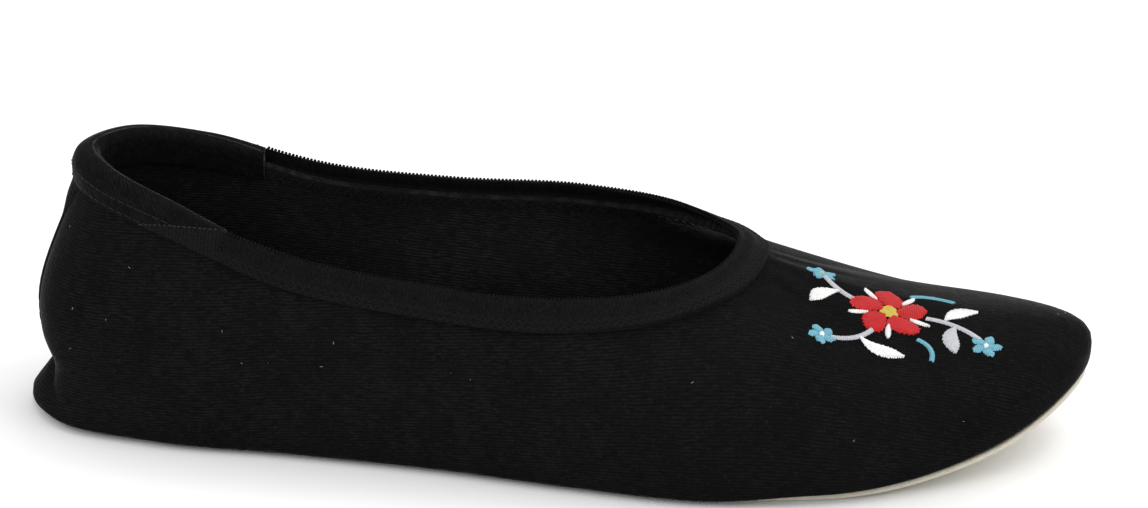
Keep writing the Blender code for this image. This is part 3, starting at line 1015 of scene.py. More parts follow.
def spun_thread(name, colour, gloss, spread=0.35, grain=0.22, contrast=1.0):
    """Twisted thread: soft gloss, with its plies as grains of a size in millimetres and a contrast."""
    constants = {"Sheen Weight": gloss / 4, "Sheen Roughness": 0.35, "Specular IOR Level": gloss}
    finish = Finish(name, constants)
    plies = finish.noise(grain * MM, 2, 0.6)
    patch = finish.noise(2.5 * MM, 2)
    shade = (plies * 0.7 + patch * 0.3).centred(contrast) + 0.5
    finish.feed("Base Color", finish.mix(shade, rgba(colour, 1 - spread), rgba(colour, 1 + spread)))
    finish.feed("Roughness", 0.62 - plies * 0.2)
    finish.relief(plies, PLY_DEPTH)
    return finish.material


def napped_leather(name, colour):
    """Pale chrome leather with a short nap, mottled and a little darker in its pores."""
    finish = Finish(name, {"Sheen Weight": 0.2, "Sheen Roughness": 0.6, "Specular IOR Level": 0.25})
    nap = finish.noise(0.35 * MM, 4, 0.7)
    grain = finish.noise(1.3 * MM, 3, 0.6)
    mottle = finish.noise(17 * MM, 3)
    shade = nap.centred(0.9) + grain.centred(0.6) + mottle.centred(0.7) + 0.5
    finish.feed("Base Color", finish.mix(shade, rgba(colour, 0.72), rgba(colour, 1.22)))
    finish.feed("Roughness", 0.97 - nap * 0.12)
    finish.relief(nap * 0.6 + grain * 0.4, NAP_DEPTH)
    return finish.material


# Pieces of cloth

def upper_levels(columns):
    """Distances below the collar of the upper's levels, close together at the turned edge."""
    runs = run_lengths(profiles(columns))
    to_widest = runs[:, SAMPLES - 1][:, None]
    to_lip = runs[:, -1][:, None]
    wall_share = np.linspace(0, 1, WALL_LEVELS + 1)[None, :]
    turn_share = np.linspace(0, 1, TURN_LEVELS + 1)[None, 1:]
    return np.concatenate((
        EDGE_BELOW_COLLAR + wall_share * (to_widest - EDGE_BELOW_COLLAR),
        to_widest + turn_share * (to_lip - to_widest),
    ), axis=1)


def crease_path(crease):
    """Points of a crease on the outer face."""
    columns = np.linspace(crease.start_column, crease.end_column, CREASE_STEPS + 1)
    shares = np.linspace(crease.start_share, crease.end_share, CREASE_STEPS + 1)
    samples = np.round(shares * (SAMPLES - 1)).astype(int)
    return profiles(columns)[np.arange(CREASE_STEPS + 1), samples]


def crease_depth(points, crease):
    """How far a crease presses each point in, from its distance to the crease's line."""
    path = crease_path(crease)
    nearest = np.full(points.shape[:-1], np.inf)
    share = np.zeros(points.shape[:-1])
    for step, (start, end) in enumerate(zip(path, path[1:])):
        along = end - start
        part = np.clip((points - start) @ along / (along @ along), 0, 1)
        distance = np.linalg.norm(points - start - part[..., None] * along, axis=-1)
        closer = distance < nearest
        nearest = np.where(closer, distance, nearest)
        share = np.where(closer, (step + part) / CREASE_STEPS, share)
    return crease.depth * (1 - share**2) * np.exp(-((nearest / crease.width) ** 2))


GATHER_SWAY = 1.3
GATHER_SWAY_LENGTH = 4.7
GATHER_FADE = 5.0
GATHER_START = 12.0


def gather_depth(columns, below, sizes):
    """Small gathers where the elastic draws the cloth in, fading downwards."""
    along, _ = distance_along(COLLAR, columns)
    turns = along / (sizes.gather_pitch / MM)
    sway = GATHER_SWAY * np.sin(math.tau * turns / GATHER_SWAY_LENGTH)
    uneven = np.sin(math.tau * turns + sway)[:, None]
    fade = np.exp(-np.clip(below - ELASTIC_WIDTH, 0, None) / GATHER_FADE)
    past_binding = heel_distance(columns) - BINDING_HALF_LENGTH
    beside_binding = np.clip(past_binding / GATHER_START, 0, 1)[:, None]
    return sizes.gather_depth / MM * uneven * fade * beside_binding


def upper_faces(sizes):
    """Columns of the upper, and its outer face and outward directions with the creases pressed in."""
    columns = np.arange(ROW_COUNT * UPPER_COLUMNS) / UPPER_COLUMNS
    below = upper_levels(columns)
    outer = face_points(columns, below)
    normals = face_normals(columns, below)
    pressed = gather_depth(columns, below, sizes)
    for crease in CREASES:
        pressed = pressed + sizes.crease_depth * crease_depth(outer, crease)
    return columns, outer - pressed[:, :, None] * normals, normals


CHART_ROUNDS = 3000
CHART_ERROR = 1e-9
TIP_POWER = 4
LEVEL_UNTIL = 15.0
FORWARD_FROM = 55.0


def rib_directions(columns, points, normals):
    """Unit directions along the cloth's ribs: to the toe, level round the heel and down over the toe."""
    forward = np.zeros(points.shape)
    forward[..., 0] = 1.0
    forward[..., 2] -= np.clip(normals[..., 0], 0, 1) ** TIP_POWER
    way = outward(WIDEST, columns)
    level = np.column_stack((-way[:, 1], way[:, 0], np.zeros(len(columns))))
    level *= np.where(columns <= TOE_COLUMN, 1.0, -1.0)[:, None]
    share = np.clip((points[..., :1] - LEVEL_UNTIL) / (FORWARD_FROM - LEVEL_UNTIL), 0, 1)
    guide = share * forward + (1 - share) * level[:, None, :]
    return unit(guide - np.einsum("cpk,cpk->cp", guide, normals)[..., None] * normals)


def best_chart(points, way):
    """Numbers on a grid of points whose steps match the directions there as closely as they can."""
    steps = [np.diff(points, axis=axis) for axis in (0, 1)]
    wanted = [
        np.einsum("cpk,cpk->cp", steps[0], (way[1:] + way[:-1]) / 2),
        np.einsum("cpk,cpk->cp", steps[1], (way[:, 1:] + way[:, :-1]) / 2),
    ]
    weights = [1 / np.einsum("cpk,cpk->cp", step, step) for step in steps]

    def pull(changes):
        total = np.zeros(points.shape[:2])
        round_it, down = (weight * change for weight, change in zip(weights, changes))
        total[1:] += round_it
        total[:-1] -= round_it
        total[:, 1:] += down
        total[:, :-1] -= down
        return total

    chart = np.zeros(points.shape[:2])
    rest = pull(wanted)
    move = rest.copy()
    left = goal = (rest * rest).sum()
    for _ in range(CHART_ROUNDS):
        effect = pull([np.diff(move, axis=axis) for axis in (0, 1)])
        share = left / (move * effect).sum()
        chart += share * move
        rest -= share * effect
        before, left = left, (rest * rest).sum()
        if left < CHART_ERROR * goal:
            break
        move = rest + left / before * move
    return chart


def cloth_chart(columns, points, normals):
    """Millimetres of cloth along and across the ribs at each point."""
    ribs = rib_directions(columns, points, normals)
    return np.stack([best_chart(points, way) for way in (ribs, np.cross(normals, ribs))], axis=-1)


TOP_EDGE_STEPS = 5
TOP_EDGE_RISE = 0.25
EDGE_STITCH = Stitch(0.9, 3.2, slant=75.0, swing=18.0)
EDGE_STITCH_BELOW = EDGE_BELOW_COLLAR + EDGE_STITCH.length / 2
EDGE_STITCH_CLEAR = 1.0


def top_edge(outer, inner):
    """Rounded top edge of the cloth, from its inner face over to its outer one."""
    middle, half = (outer[:, 0] + inner[:, 0]) / 2, (outer[:, 0] - inner[:, 0]) / 2
    up = TOP_EDGE_RISE * unit(outer[:, 0] - outer[:, 1])
    angles = np.linspace(math.pi, 0, TOP_EDGE_STEPS + 2)[1:-1]
    return np.stack([middle + math.cos(a) * half + math.sin(a) * up for a in angles], axis=1)


class SLIPPER_OT_upper(bpy.types.Operator):
    """Build the upper: ribbed cloth outside, lining inside, with its creases and edge stitches"""

    bl_idname = "slipper.upper"
    bl_label = "Upper"

    def execute(self, context):
        sizes, colours = context.scene.slipper_sizes, context.scene.slipper_colours
        columns, outer, normals = upper_faces(sizes)
        inner = outer - WALL * normals
        chart = cloth_chart(columns, outer, normals)
        edge_chart = np.repeat(chart[:, :1], TOP_EDGE_STEPS, axis=1)
        chart = np.concatenate((chart, chart[:, ::-1], edge_chart), axis=1)
        chart = np.concatenate((chart, chart[-1:]), axis=0)
        sections = np.concatenate((outer, inner[:, ::-1], top_edge(outer, inner)), axis=1)
        mesh = sweep_mesh("upper_cloth", sections, closed=True, chart=chart)
        inside = np.tile(np.arange(sections.shape[1]) >= outer.shape[1], len(columns))
        mesh.polygons.foreach_set("material_index", inside.astype(np.int32))
        cloth = ribbed_cloth("black_cloth", colours.cloth, sizes, sizes.rib_slope)
        lining = ribbed_cloth("lining_cloth", colours.lining, sizes, sizes.rib_slope)
        settle(add_piece("upper_cloth", mesh, (cloth, lining)), "upper", "upper")

        start = column_at(COLLAR, BINDING_HALF_LENGTH + EDGE_STITCH_CLEAR)
        beside = np.linspace(start, ROW_COUNT - start, TRIM_COLUMNS)
        lines = [face_line(beside, EDGE_STITCH_BELOW, -WALL, -1.0)]
        thread = spun_thread("edge_thread", colours.thread, gloss=0.14)
        sew("edge_stitches", "upper", lines, EDGE_STITCH, sizes.stitch_girth, thread)
        return {"FINISHED"}


# Sole and insole

PLATE_STEPS = 12
PLATE_CROWDING = 1.5
RIM_STEPS = 9
MERGE_DISTANCE = 0.002 * MM
NO_REACH = 1e-9
INSOLE_WEAVE = 0.55 * MM


def plate_mesh(name, outline, thickness, lift):
    """Plate that follows the sole line, with rounded edges, meeting itself along its middle."""
    count = len(outline)
    partner = outline[-np.arange(count) % count]
    spine = (outline + partner) / 2
    corner = thickness / 2
    shares = 1 - (1 - np.linspace(0, 1, PLATE_STEPS)) ** PLATE_CROWDING
    rim = np.array(arc((-corner, corner), (corner, corner), -90, 90, RIM_STEPS))
    reach = np.linalg.norm(outline - spine, axis=1)[:, None]
    inset = np.minimum(corner, reach)
    flat = shares[None, :] * (reach - inset)
    edge = rim[None, :, 0] * inset / corner + reach
    across = np.concatenate((flat[:, :-1], edge, flat[:, -2::-1]), axis=1)
    height = np.concatenate((np.zeros(PLATE_STEPS - 1), rim[:, 1], np.full(PLATE_STEPS - 1, thickness)))
    way = np.divide(outline - spine, reach, out=np.zeros_like(outline), where=reach > NO_REACH)
    plan = spine[:, None, :] + across[..., None] * way[:, None, :]
    level = sole_height(plan[..., 0], plan[..., 1]) + lift + height[None, :]
    sections = np.concatenate((plan, level[..., None]), axis=-1)
    return merged(sweep_mesh(name, sections, closed=True, open_sections=True))


def merged(mesh):
    """The mesh with its doubled points joined and its collapsed faces gone."""
    shape = bmesh.new()
    shape.from_mesh(mesh)
    bmesh.ops.remove_doubles(shape, verts=shape.verts[:], dist=MERGE_DISTANCE)
    bmesh.ops.dissolve_degenerate(shape, edges=shape.edges[:], dist=MERGE_DISTANCE)
    shape.to_mesh(mesh)
    shape.free()
    return mesh


class SLIPPER_OT_sole(bpy.types.Operator):
    """Build the leather sole and the insole that lies on it"""

    bl_idname = "slipper.sole"
    bl_label = "Sole"

    def execute(self, context):
        colours = context.scene.slipper_colours
        columns = np.arange(ROW_COUNT * SOLE_COLUMNS) / SOLE_COLUMNS
        outline = sole_outline(columns, edge_values("sole", columns))
        mesh = plate_mesh("sole_leather", outline, SOLE_THICKNESS, 0.0)
        leather = napped_leather("sole_leather", colours.sole)
        settle(add_piece("sole_leather", mesh, (leather,)), "outsole", "outsole")
        outline = sole_outline(columns, edge_values("turn", columns) - 2 * SEATED)
        mesh = plate_mesh("insole_cotton", outline, INSOLE_THICKNESS, SOLE_THICKNESS + GAP)
        cotton = plain_cloth("insole_cotton", colours.insole, INSOLE_WEAVE)
        settle(add_piece("insole_cotton", mesh, (cotton,)), "insole", "insole")
        return {"FINISHED"}


# Collar elastic

ELASTIC_TOP = GAP + ELASTIC_THICKNESS
ELASTIC_ROUND = 0.4
ELASTIC_EDGE_STEPS = 7
ELASTIC_CORNER_STEPS = 5
ELASTIC_SHARES = (0.25, 0.5, 0.75)
RIBBED_SHARE = 0.62
RIB_SUNK = 0.6
RIB_ARCH = 0.3
PICOT = 0.25
ZIGZAG = Stitch(0.8, 1.0, swing=45.0, arch=0.4)
ZIGZAG_ROWS = (0.72, 0.89)
ZIGZAG_END_STEPS = 40
END_DIP = 0.55
END_DIP_LENGTH = 5.0


def in_tape(columns, below):
    """Distances below the collar of places on the tape, whose top edge sinks beside the binding."""
    distance, whole = distance_along(COLLAR, columns)
    past = np.minimum(distance, whole - distance) - BINDING_HALF_LENGTH
    return below + END_DIP * np.exp(-(past / END_DIP_LENGTH) ** 2) * (1 - below / ELASTIC_WIDTH)


def elastic_outline():
    """Section of the tape: distances below the collar and off the face, seated on the cloth's edge."""
    half = ELASTIC_THICKNESS / 2
    seat = EDGE_BELOW_COLLAR + GAP
    low_corner = (ELASTIC_WIDTH - ELASTIC_ROUND, ELASTIC_TOP - ELASTIC_ROUND)
    outline = arc((ELASTIC_ROUND, GAP + half), (-ELASTIC_ROUND, half), -90, 90, ELASTIC_EDGE_STEPS)
    outline += [(ELASTIC_WIDTH * share, ELASTIC_TOP) for share in ELASTIC_SHARES]
    outline += arc(low_corner, (ELASTIC_ROUND, ELASTIC_ROUND), 90, 0, ELASTIC_CORNER_STEPS)
    outline += [(below, -SEATED) for below in (ELASTIC_WIDTH, (ELASTIC_WIDTH + seat) / 2, seat)]
    outline += [(EDGE_BELOW_COLLAR - GAP, GAP), (EDGE_BELOW_COLLAR / 2, GAP)]
    return np.array(outline).T


class SLIPPER_OT_elastic(bpy.types.Operator):
    """Build the collar elastic: webbing, cross ribs with a picot edge and two zigzag rows"""

    bl_idname = "slipper.elastic"
    bl_label = "Collar elastic"

    def execute(self, context):
        sizes, colours = context.scene.slipper_sizes, context.scene.slipper_colours
        start = column_at(COLLAR, BINDING_HALF_LENGTH + SEATED)
        columns = np.linspace(start, ROW_COUNT - start, TRIM_COLUMNS)
        webbing = woven_elastic("elastic_webbing", colours.elastic)
        below, offset = elastic_outline()
        below = in_tape(columns[:, None], below[None, :])
        sections = face_points(columns, below) + offset[None, :, None] * face_normals(columns, below)
        mesh = sweep_mesh("elastic_tape", sections)
        settle(add_piece("elastic_tape", mesh, (webbing,)), "collar_elastic", "collar_elastic")

        yarn = spun_thread("elastic_yarn", colours.elastic, gloss=0.01, spread=1.0, grain=0.6, contrast=1.6)
        girth = sizes.elastic_girth / MM
        rows = (
            ("elastic_ribs", ELASTIC_WIDTH * RIBBED_SHARE, ELASTIC_TOP - girth * RIB_SUNK, 1.0),
            ("elastic_inner_ribs", EDGE_BELOW_COLLAR - GAP, GAP + girth / 2, -1.0),
        )
        for name, depth, offset, side in rows:
            rib = Stitch(sizes.elastic_pitch / MM, depth + PICOT, slant=90.0, arch=RIB_ARCH)
            lines = [face_line(columns, in_tape(columns, (depth - PICOT) / 2), offset, side)]
            sew(name, "collar_elastic", lines, rib, sizes.elastic_girth, yarn)

        thread = spun_thread("zigzag_thread", colours.thread, gloss=0.05)
        lines = []
        for row in ZIGZAG_ROWS:
            lines.append(face_line(columns, in_tape(columns, row * ELASTIC_WIDTH), ELASTIC_TOP))
        for row in ZIGZAG_ROWS:
            near = np.linspace(column_at(COLLAR, seam_distance(row)), start, ZIGZAG_END_STEPS)
            lines += [binding_line(side * near, row * BINDING_WIDTH) for side in (1, -1)]
        sew("elastic_zigzag", "collar_elastic", lines, ZIGZAG, sizes.stitch_girth, thread)
        return {"FINISHED"}


# Heel binding and back strip

BIAS = math.radians(45)
BINDING_STITCH = Stitch(1.9, 1.45)
BINDING_ROWS = (4.1, 6.4)
BINDING_ROUND = 1.9
BINDING_END_ROUND = 0.7
BINDING_CROWN_POWER = 0.9
BINDING_STEPS = 22
BINDING_CROWDING = 1.6
BINDING_FOLD_STEPS = 8
END_THINNING = 0.3
END_THINNING_POWER = 6
SEAM_STITCH = Stitch(0.95, 0.45)
SEAM_FROM = 23.0
SEAM_SHARES = (0.94, 0.1)
SEAM_STEPS = 40
STRIP_STITCH = Stitch(1.9, 1.45, arch=0.0)
STRIP_LEVELS = 60
STRIP_PLACES = 19
STRIP_ROWS = (4, 14)
STRIP_EDGE = 0.15
STRIP_EDGE_POWER = 6


def to_end(columns):
    """How near each column is to the binding's end: 0 at the heel's back and 1 at the end."""
    return (columns / column_at(COLLAR, BINDING_HALF_LENGTH)) ** 2


def narrowed(columns):
    """Share of the binding's width that is left at each column."""
    return 1 - to_end(columns) * (1 - ELASTIC_WIDTH / BINDING_WIDTH)


def binding_face(below, columns):
    """How far the binding's outer leaf lies off the face, rounded at its top and padded in its middle."""
    below = np.clip(np.asarray(below, float), 0, BINDING_WIDTH)
    corner = BINDING_ROUND + to_end(columns) * (BINDING_END_ROUND - BINDING_ROUND)
    rounded = np.sqrt(np.clip(1 - ((corner - below) / corner).clip(0) ** 2, 0, None))
    swell = np.sin(np.pi * (below / BINDING_WIDTH) ** BINDING_CROWN_POWER)
    crown = swell * BINDING_CROWN * (1 - to_end(columns))
    return (GAP + BINDING_LEAF + WALL / 2) * rounded - WALL / 2 + crown


def binding_line(columns, below):
    """Line on the binding's outer leaf, at distances below the collar where it is widest."""
    return face_line(columns, below * narrowed(columns), binding_face(below, columns))


def seam_distance(share):
    """Distance from the heel's back of the slanted seam over the elastic's end, at a share of the width."""
    return BINDING_HALF_LENGTH + share * (SEAM_FROM - BINDING_HALF_LENGTH)


def binding_sections(columns):
    """Folded section of the binding for each column, its outer leaf first."""
    inside = -WALL - GAP - BINDING_LEAF
    fold = EDGE_BELOW_COLLAR - GAP
    half = -inside - WALL / 2
    down = BINDING_WIDTH * np.linspace(0, 1, BINDING_STEPS) ** BINDING_CROWDING
    rounded = arc((BINDING_ROUND, -WALL / 2), (-BINDING_ROUND, half), -90, 0, BINDING_FOLD_STEPS)
    inner = [(BINDING_WIDTH, inside), (BINDING_WIDTH / 2, inside)] + rounded[:-1]
    seat = [(below, -SEATED) for below in (BINDING_WIDTH, (BINDING_WIDTH + fold) / 2, fold)]
    seat += [(below, SEATED - WALL) for below in (fold, (BINDING_WIDTH + fold) / 2, BINDING_WIDTH)]
    seated = np.tile([point[1] for point in seat], (len(columns), 1))
    thin = 1 - to_end(columns) ** END_THINNING_POWER * END_THINNING
    folded = np.outer(thin, [point[1] + WALL / 2 for point in inner]) - WALL / 2
    offset = np.concatenate((binding_face(down[None, :], columns[:, None]), seated, folded), axis=1)
    below = np.outer(narrowed(columns), np.concatenate((down, [point[0] for point in seat + inner])))
    return face_points(columns, below) + offset[..., None] * face_normals(columns, below)


def over_elastic(columns, places):
    """Which faces of the binding lie below its slanted seam and show the elastic."""
    distance, whole = distance_along(COLLAR, (columns[1:] + columns[:-1]) / 2)
    distance = np.minimum(distance, whole - distance)[:, None]
    faces = BINDING_STEPS - 1
    share = np.full(places, -1.0)
    share[:faces] = (np.arange(faces) + 0.5) ** BINDING_CROWDING / faces**BINDING_CROWDING
    return distance > seam_distance(share)[None, :]


def along_strip(down, tab, neck):
    """Value that passes from that of the strip's tab to that of its neck, at a distance below its top."""
    share = np.clip((down - STRIP_NECK_START) / (STRIP_NECK_END - STRIP_NECK_START), 0, 1)
    return tab + share**2 * (3 - 2 * share) * (neck - tab)


class SLIPPER_OT_heel(bpy.types.Operator):
    """Build the folded heel binding and the strip over the back seam, with their stitches"""

    bl_idname = "slipper.heel"
    bl_label = "Heel binding and strip"

    def execute(self, context):
        sizes, colours = context.scene.slipper_sizes, context.scene.slipper_colours
        cloth = ribbed_cloth("binding_cloth", colours.cloth, sizes, BIAS)
        webbing = woven_elastic("binding_webbing", colours.elastic, cross_ribs=1.0)
        thread = spun_thread("heel_thread", colours.thread, gloss=0.14)
        end = column_at(COLLAR, BINDING_HALF_LENGTH)
        columns = np.linspace(-end, end, BINDING_COLUMNS)
        sections = binding_sections(columns)
        mesh = sweep_mesh("binding_cloth", sections)
        shows = over_elastic(columns, sections.shape[1]).astype(np.int32).ravel()
        mesh.polygons.foreach_set("material_index", np.concatenate((shows, (0, 0))).astype(np.int32))
        settle(add_piece("binding_cloth", mesh, (cloth, webbing)), "heel_binding", "heel_binding")

        lines = []
        for row in BINDING_ROWS:
            reach = column_at(COLLAR, seam_distance(row / BINDING_WIDTH))
            lines.append(binding_line(np.linspace(-reach, reach, BINDING_COLUMNS), row))
        sew("binding_stitches", "heel_binding", lines, BINDING_STITCH, sizes.stitch_girth, thread)

        shares = np.linspace(*SEAM_SHARES, SEAM_STEPS)
        near = column_at(COLLAR, seam_distance(shares))
        lines = [binding_line(side * near, shares * BINDING_WIDTH) for side in (1, -1)]
        seam_thread = spun_thread("seam_thread", colours.seam, gloss=0.2)
        sew("binding_seams", "heel_binding", lines, SEAM_STITCH, sizes.stitch_girth, seam_thread)

        # The strip's cloth takes the strip colour, painted lighter than the cloth to make up for the shade on
        # its edge.
        strip_tape_painted_light = ribbed_cloth("strip_cloth", colours.strip, sizes, BIAS)
        self.strip(strip_tape_painted_light, thread, sizes)
        return {"FINISHED"}

    def strip(self, strip_tape_painted_light, thread, sizes):
        """Raised strip over the back seam, rounded at its edges, with a stitch row along each."""
        centre = profiles(np.zeros(1))[0]
        foot = np.interp(-STRIP_FOOT_HEIGHT, -centre[:, 2], run_lengths(centre[None])[0])
        shares = np.sin(np.linspace(-math.pi / 2, math.pi / 2, STRIP_PLACES))
        rounded = (1 - (1 - STRIP_EDGE) * np.abs(shares) ** STRIP_EDGE_POWER)[:, None]
        sections, rows = [], ([], [])
        for level in np.linspace(0, 1, STRIP_LEVELS):
            down = level * (foot - BINDING_WIDTH - GAP)
            crown = along_strip(down, GAP + STRIP_THICKNESS, STRIP_FOOT_THICKNESS) * rounded
            half = column_at(WIDEST, along_strip(down, STRIP_HALF_WIDTH, STRIP_NECK_HALF_WIDTH))
            below = np.full((len(shares), 1), BINDING_WIDTH + GAP + down)
            face = face_points(half * shares, below)[:, 0]
            normal = face_normals(half * shares, below)[:, 0]
            sections.append(np.concatenate((face + crown * normal, (face - SEATED * normal)[::-1])))
            for row, place in zip(rows, STRIP_ROWS):
                row.append((face[place] + crown[place] * normal[place], normal[place]))
        mesh = sweep_mesh("seam_strip", np.array(sections))
        settle(add_piece("seam_strip", mesh, (strip_tape_painted_light,)), "back_strip", "back_strip")

        lines = [[np.array(part) for part in zip(*row[1:-1])] for row in rows]
        sew("strip_stitches", "back_strip", lines, STRIP_STITCH, sizes.stitch_girth, thread)


# Embroidery: a spray of flowers, in millimetres on the vamp

EMBROIDERY_CENTRE = (164.5, -5.0)
SATIN_STEPS = 7
SATIN_LEAN = 0.35
SATIN_UNEVEN = 0.07
SATIN_UNEVEN_STEP = 2.4
SATIN_SWELL_POWER = 1.2
SATIN_LOOK = 0.1
STROKE_STEPS = 60
ABOVE_VAMP = 40.0
PETALS = 5
STEM, LEAF, PETAL = 0.0, 0.9, 0.55


class Stroke(NamedTuple):
    """A satin-stitched line from a start by a bend to an end. Its taper is that of a stem, leaf or petal."""

    name: str
    colour: str
    start: tuple
    bend: tuple
    end: tuple
    width: float
    taper: float


STROKES = (
    Stroke("right_stem", "grey", (4.6, 1.2), (10.5, 1.4), (15.0, -3.2), 0.9, STEM),
    Stroke("left_stem", "grey", (-9.2, 2.8), (-13.0, 4.4), (-15.2, 8.0), 0.9, STEM),
    Stroke("low_stem", "grey", (-5.2, -5.6), (-7.4, -9.6), (-12.6, -10.6), 0.9, STEM),
    Stroke("right_leaf", "white", (8.2, 1.6), (9.6, 5.8), (14.4, 6.6), 3.2, LEAF),
    Stroke("under_leaf", "grey", (10.4, 0.2), (8.6, -3.6), (10.6, -8.2), 3.0, LEAF),
    Stroke("left_leaf", "white", (-12.2, 4.2), (-15.6, 2.8), (-17.4, -1.4), 3.0, LEAF),
    Stroke("low_leaf", "white", (-7.2, -8.4), (-4.0, -11.6), (1.4, -11.4), 3.0, LEAF),
    Stroke("upper_tendril", "blue", (1.4, 8.4), (4.8, 11.6), (9.8, 9.6), 0.7, STEM),
    Stroke("lower_tendril", "blue", (3.4, -6.0), (7.0, -7.4), (6.4, -11.6), 0.7, STEM),
)


class Blossom(NamedTuple):
    """Satin-stitched petals from an inner radius to their reach, round a disc of another colour."""

    name: str
    colour: str
    disc_colour: str
    place: tuple
    turn: float
    disc: float
    inner: float
    reach: float
    width: float


BLOSSOMS = (
    Blossom("large", "red", "yellow", (-2.4, 1.0), 20.0, 1.8, 1.4, 7.4, 5.4),
    Blossom("points", "white", "white", (-2.4, 1.0), 56.0, 0.0, 4.2, 8.0, 0.9),
    Blossom("right", "blue", "white", (16.2, -4.8), 0.0, 0.7, 0.4, 2.9, 1.9),
    Blossom("left", "blue", "yellow", (-15.8, 9.4), 30.0, 0.7, 0.4, 2.9, 1.9),
    Blossom("low", "blue", "white", (-14.4, -10.8), 50.0, 0.7, 0.4, 2.7, 1.8),
)


def satin_path(path, width, pitch, taper):
    """Threads across a line, a little slanted and uneven, at an even pitch along it."""
    run = np.concatenate(([0.0], np.cumsum(np.linalg.norm(np.diff(path, axis=0), axis=1))))
    at = np.arange(pitch / 2, run[-1], pitch)
    ahead, points, back = (
        np.column_stack([np.interp(at + shift, run, path[:, axis]) for axis in (0, 1)])
        for shift in (SATIN_LOOK, 0.0, -SATIN_LOOK)
    )
    way = unit(ahead - back)
    across = np.column_stack((-way[:, 1], way[:, 0])) + SATIN_LEAN * way
    swell = np.sin(math.pi * (at / run[-1]) ** SATIN_SWELL_POWER) ** taper
    uneven = 1 + SATIN_UNEVEN * np.sin(SATIN_UNEVEN_STEP * np.arange(len(at)))
    half = (width / 2 * swell * uneven)[:, None] * across
    return list(zip(points - half, points + half))


def satin_disc(centre, radius, pitch):
    """Level threads that fill a disc."""
    rows = np.arange(-radius + pitch / 2, radius, pitch)
    half = np.sqrt(np.clip(radius**2 - rows**2, 0, None))
    return [(np.add(centre, (-h, row)), np.add(centre, (h, row))) for h, row in zip(half, rows)]


def motifs(pitch):
    """Threads of each colour, as pairs of ends."""
    threads = {colour: [] for colour in ("red", "white", "grey", "blue", "yellow")}
    for stroke in STROKES:
        share = np.linspace(0, 1, STROKE_STEPS)[:, None]
        start, bend, end = (np.array(point) for point in (stroke.start, stroke.bend, stroke.end))
        path = (1 - share) ** 2 * start + 2 * share * (1 - share) * bend + share**2 * end
        threads[stroke.colour] += satin_path(path, stroke.width, pitch, stroke.taper)
    for blossom in BLOSSOMS:
        for petal in range(PETALS):
            angle = math.radians(blossom.turn) + math.tau / PETALS * petal
            radii = np.array((blossom.inner, blossom.reach))
            path = np.array(blossom.place) + np.outer(radii, (math.cos(angle), math.sin(angle)))
            threads[blossom.colour] += satin_path(path, blossom.width, pitch, PETAL)
        threads[blossom.disc_colour] += satin_disc(blossom.place, blossom.disc, pitch)
    return threads


class Vamp:
    """The vamp's face, with a level chart laid on it round the embroidery's middle."""

    def __init__(self, sizes):
        _, outer, _ = upper_faces(sizes)
        self.face = BVHTree.FromPolygons(outer.reshape(-1, 3).tolist(), ring_faces(*outer.shape[:2]))
        above = Vector((*EMBROIDERY_CENTRE, 2 * HEEL_HEIGHT))
        self.centre, self.up, _, _ = self.face.ray_cast(above, Vector((0, 0, -1)))
        self.up = self.up if self.up.z > 0 else -self.up
        self.along = (Vector((1, 0, 0)) - self.up * self.up.x).normalized()
        self.across = self.up.cross(self.along)

    def lay(self, place):
        """Point of the face and its outward direction at a place on the chart."""
        above = self.centre + self.along * place[0] + self.across * place[1] + self.up * ABOVE_VAMP
        point, normal, _, _ = self.face.ray_cast(above, -self.up)
        if point is None:
            raise RuntimeError(f"the embroidery leaves the vamp at {tuple(place)}")
        return point, normal if normal.dot(self.up) > 0 else -normal


class SLIPPER_OT_embroidery(bpy.types.Operator):
    """Sew the vamp's motif in satin stitch, one piece for each colour of thread"""

    bl_idname = "slipper.embroidery"
    bl_label = "Embroidery"

    def execute(self, context):
        sizes, colours = context.scene.slipper_sizes, context.scene.slipper_colours
        vamp = Vamp(sizes)
        shares = np.linspace(0, 1, SATIN_STEPS)[:, None]
        for colour, threads in motifs(sizes.satin_pitch / MM).items():
            laid = [[vamp.lay(place) for place in start + shares * (end - start)] for start, end in threads]
            lines = [[np.array(part) for part in zip(*thread)] for thread in laid]
            name = f"embroidery_{colour}"
            shade = getattr(colours, colour)
            satin = spun_thread(f"{colour}_thread", shade, gloss=0.2, spread=0.4, grain=0.5)
            inputs = {"Girth": sizes.satin_girth, "Arch": sizes.satin_arch, "Material": satin}
            settle(grow(name, lines_mesh(name, lines), satin_tree(), inputs), "upper")
        return {"FINISHED"}


LINT_DENSITY = 4200.0
LINT_SEED = 7
LINT_COLUMN_STEP = 4
LINT_LEVELS = range(8, WALL_LEVELS + 4, 2)
LINT_LIFT = 0.05


class SLIPPER_OT_lint(bpy.types.Operator):
    """Scatter a few fibres of lint on the cloth"""

    bl_idname = "slipper.lint"
    bl_label = "Lint"

    def execute(self, context):
        sizes, colours = context.scene.slipper_sizes, context.scene.slipper_colours
        _, outer, normals = upper_faces(sizes)
        face = (outer + LINT_LIFT * normals)[::LINT_COLUMN_STEP, LINT_LEVELS]
        guide = bpy.data.meshes.new("lint_fibres")
        guide.from_pydata(in_frame(face.reshape(-1, 3)), [], ring_faces(*face.shape[:2]))
        inputs = {
            "Density": LINT_DENSITY, "Length": sizes.lint_length, "Girth": sizes.lint_girth,
            "Seed": LINT_SEED, "Material": spun_thread("lint", colours.lint, gloss=0.2),
        }
        settle(grow("lint_fibres", guide, lint_tree(), inputs), "upper")
        return {"FINISHED"}


# Stage

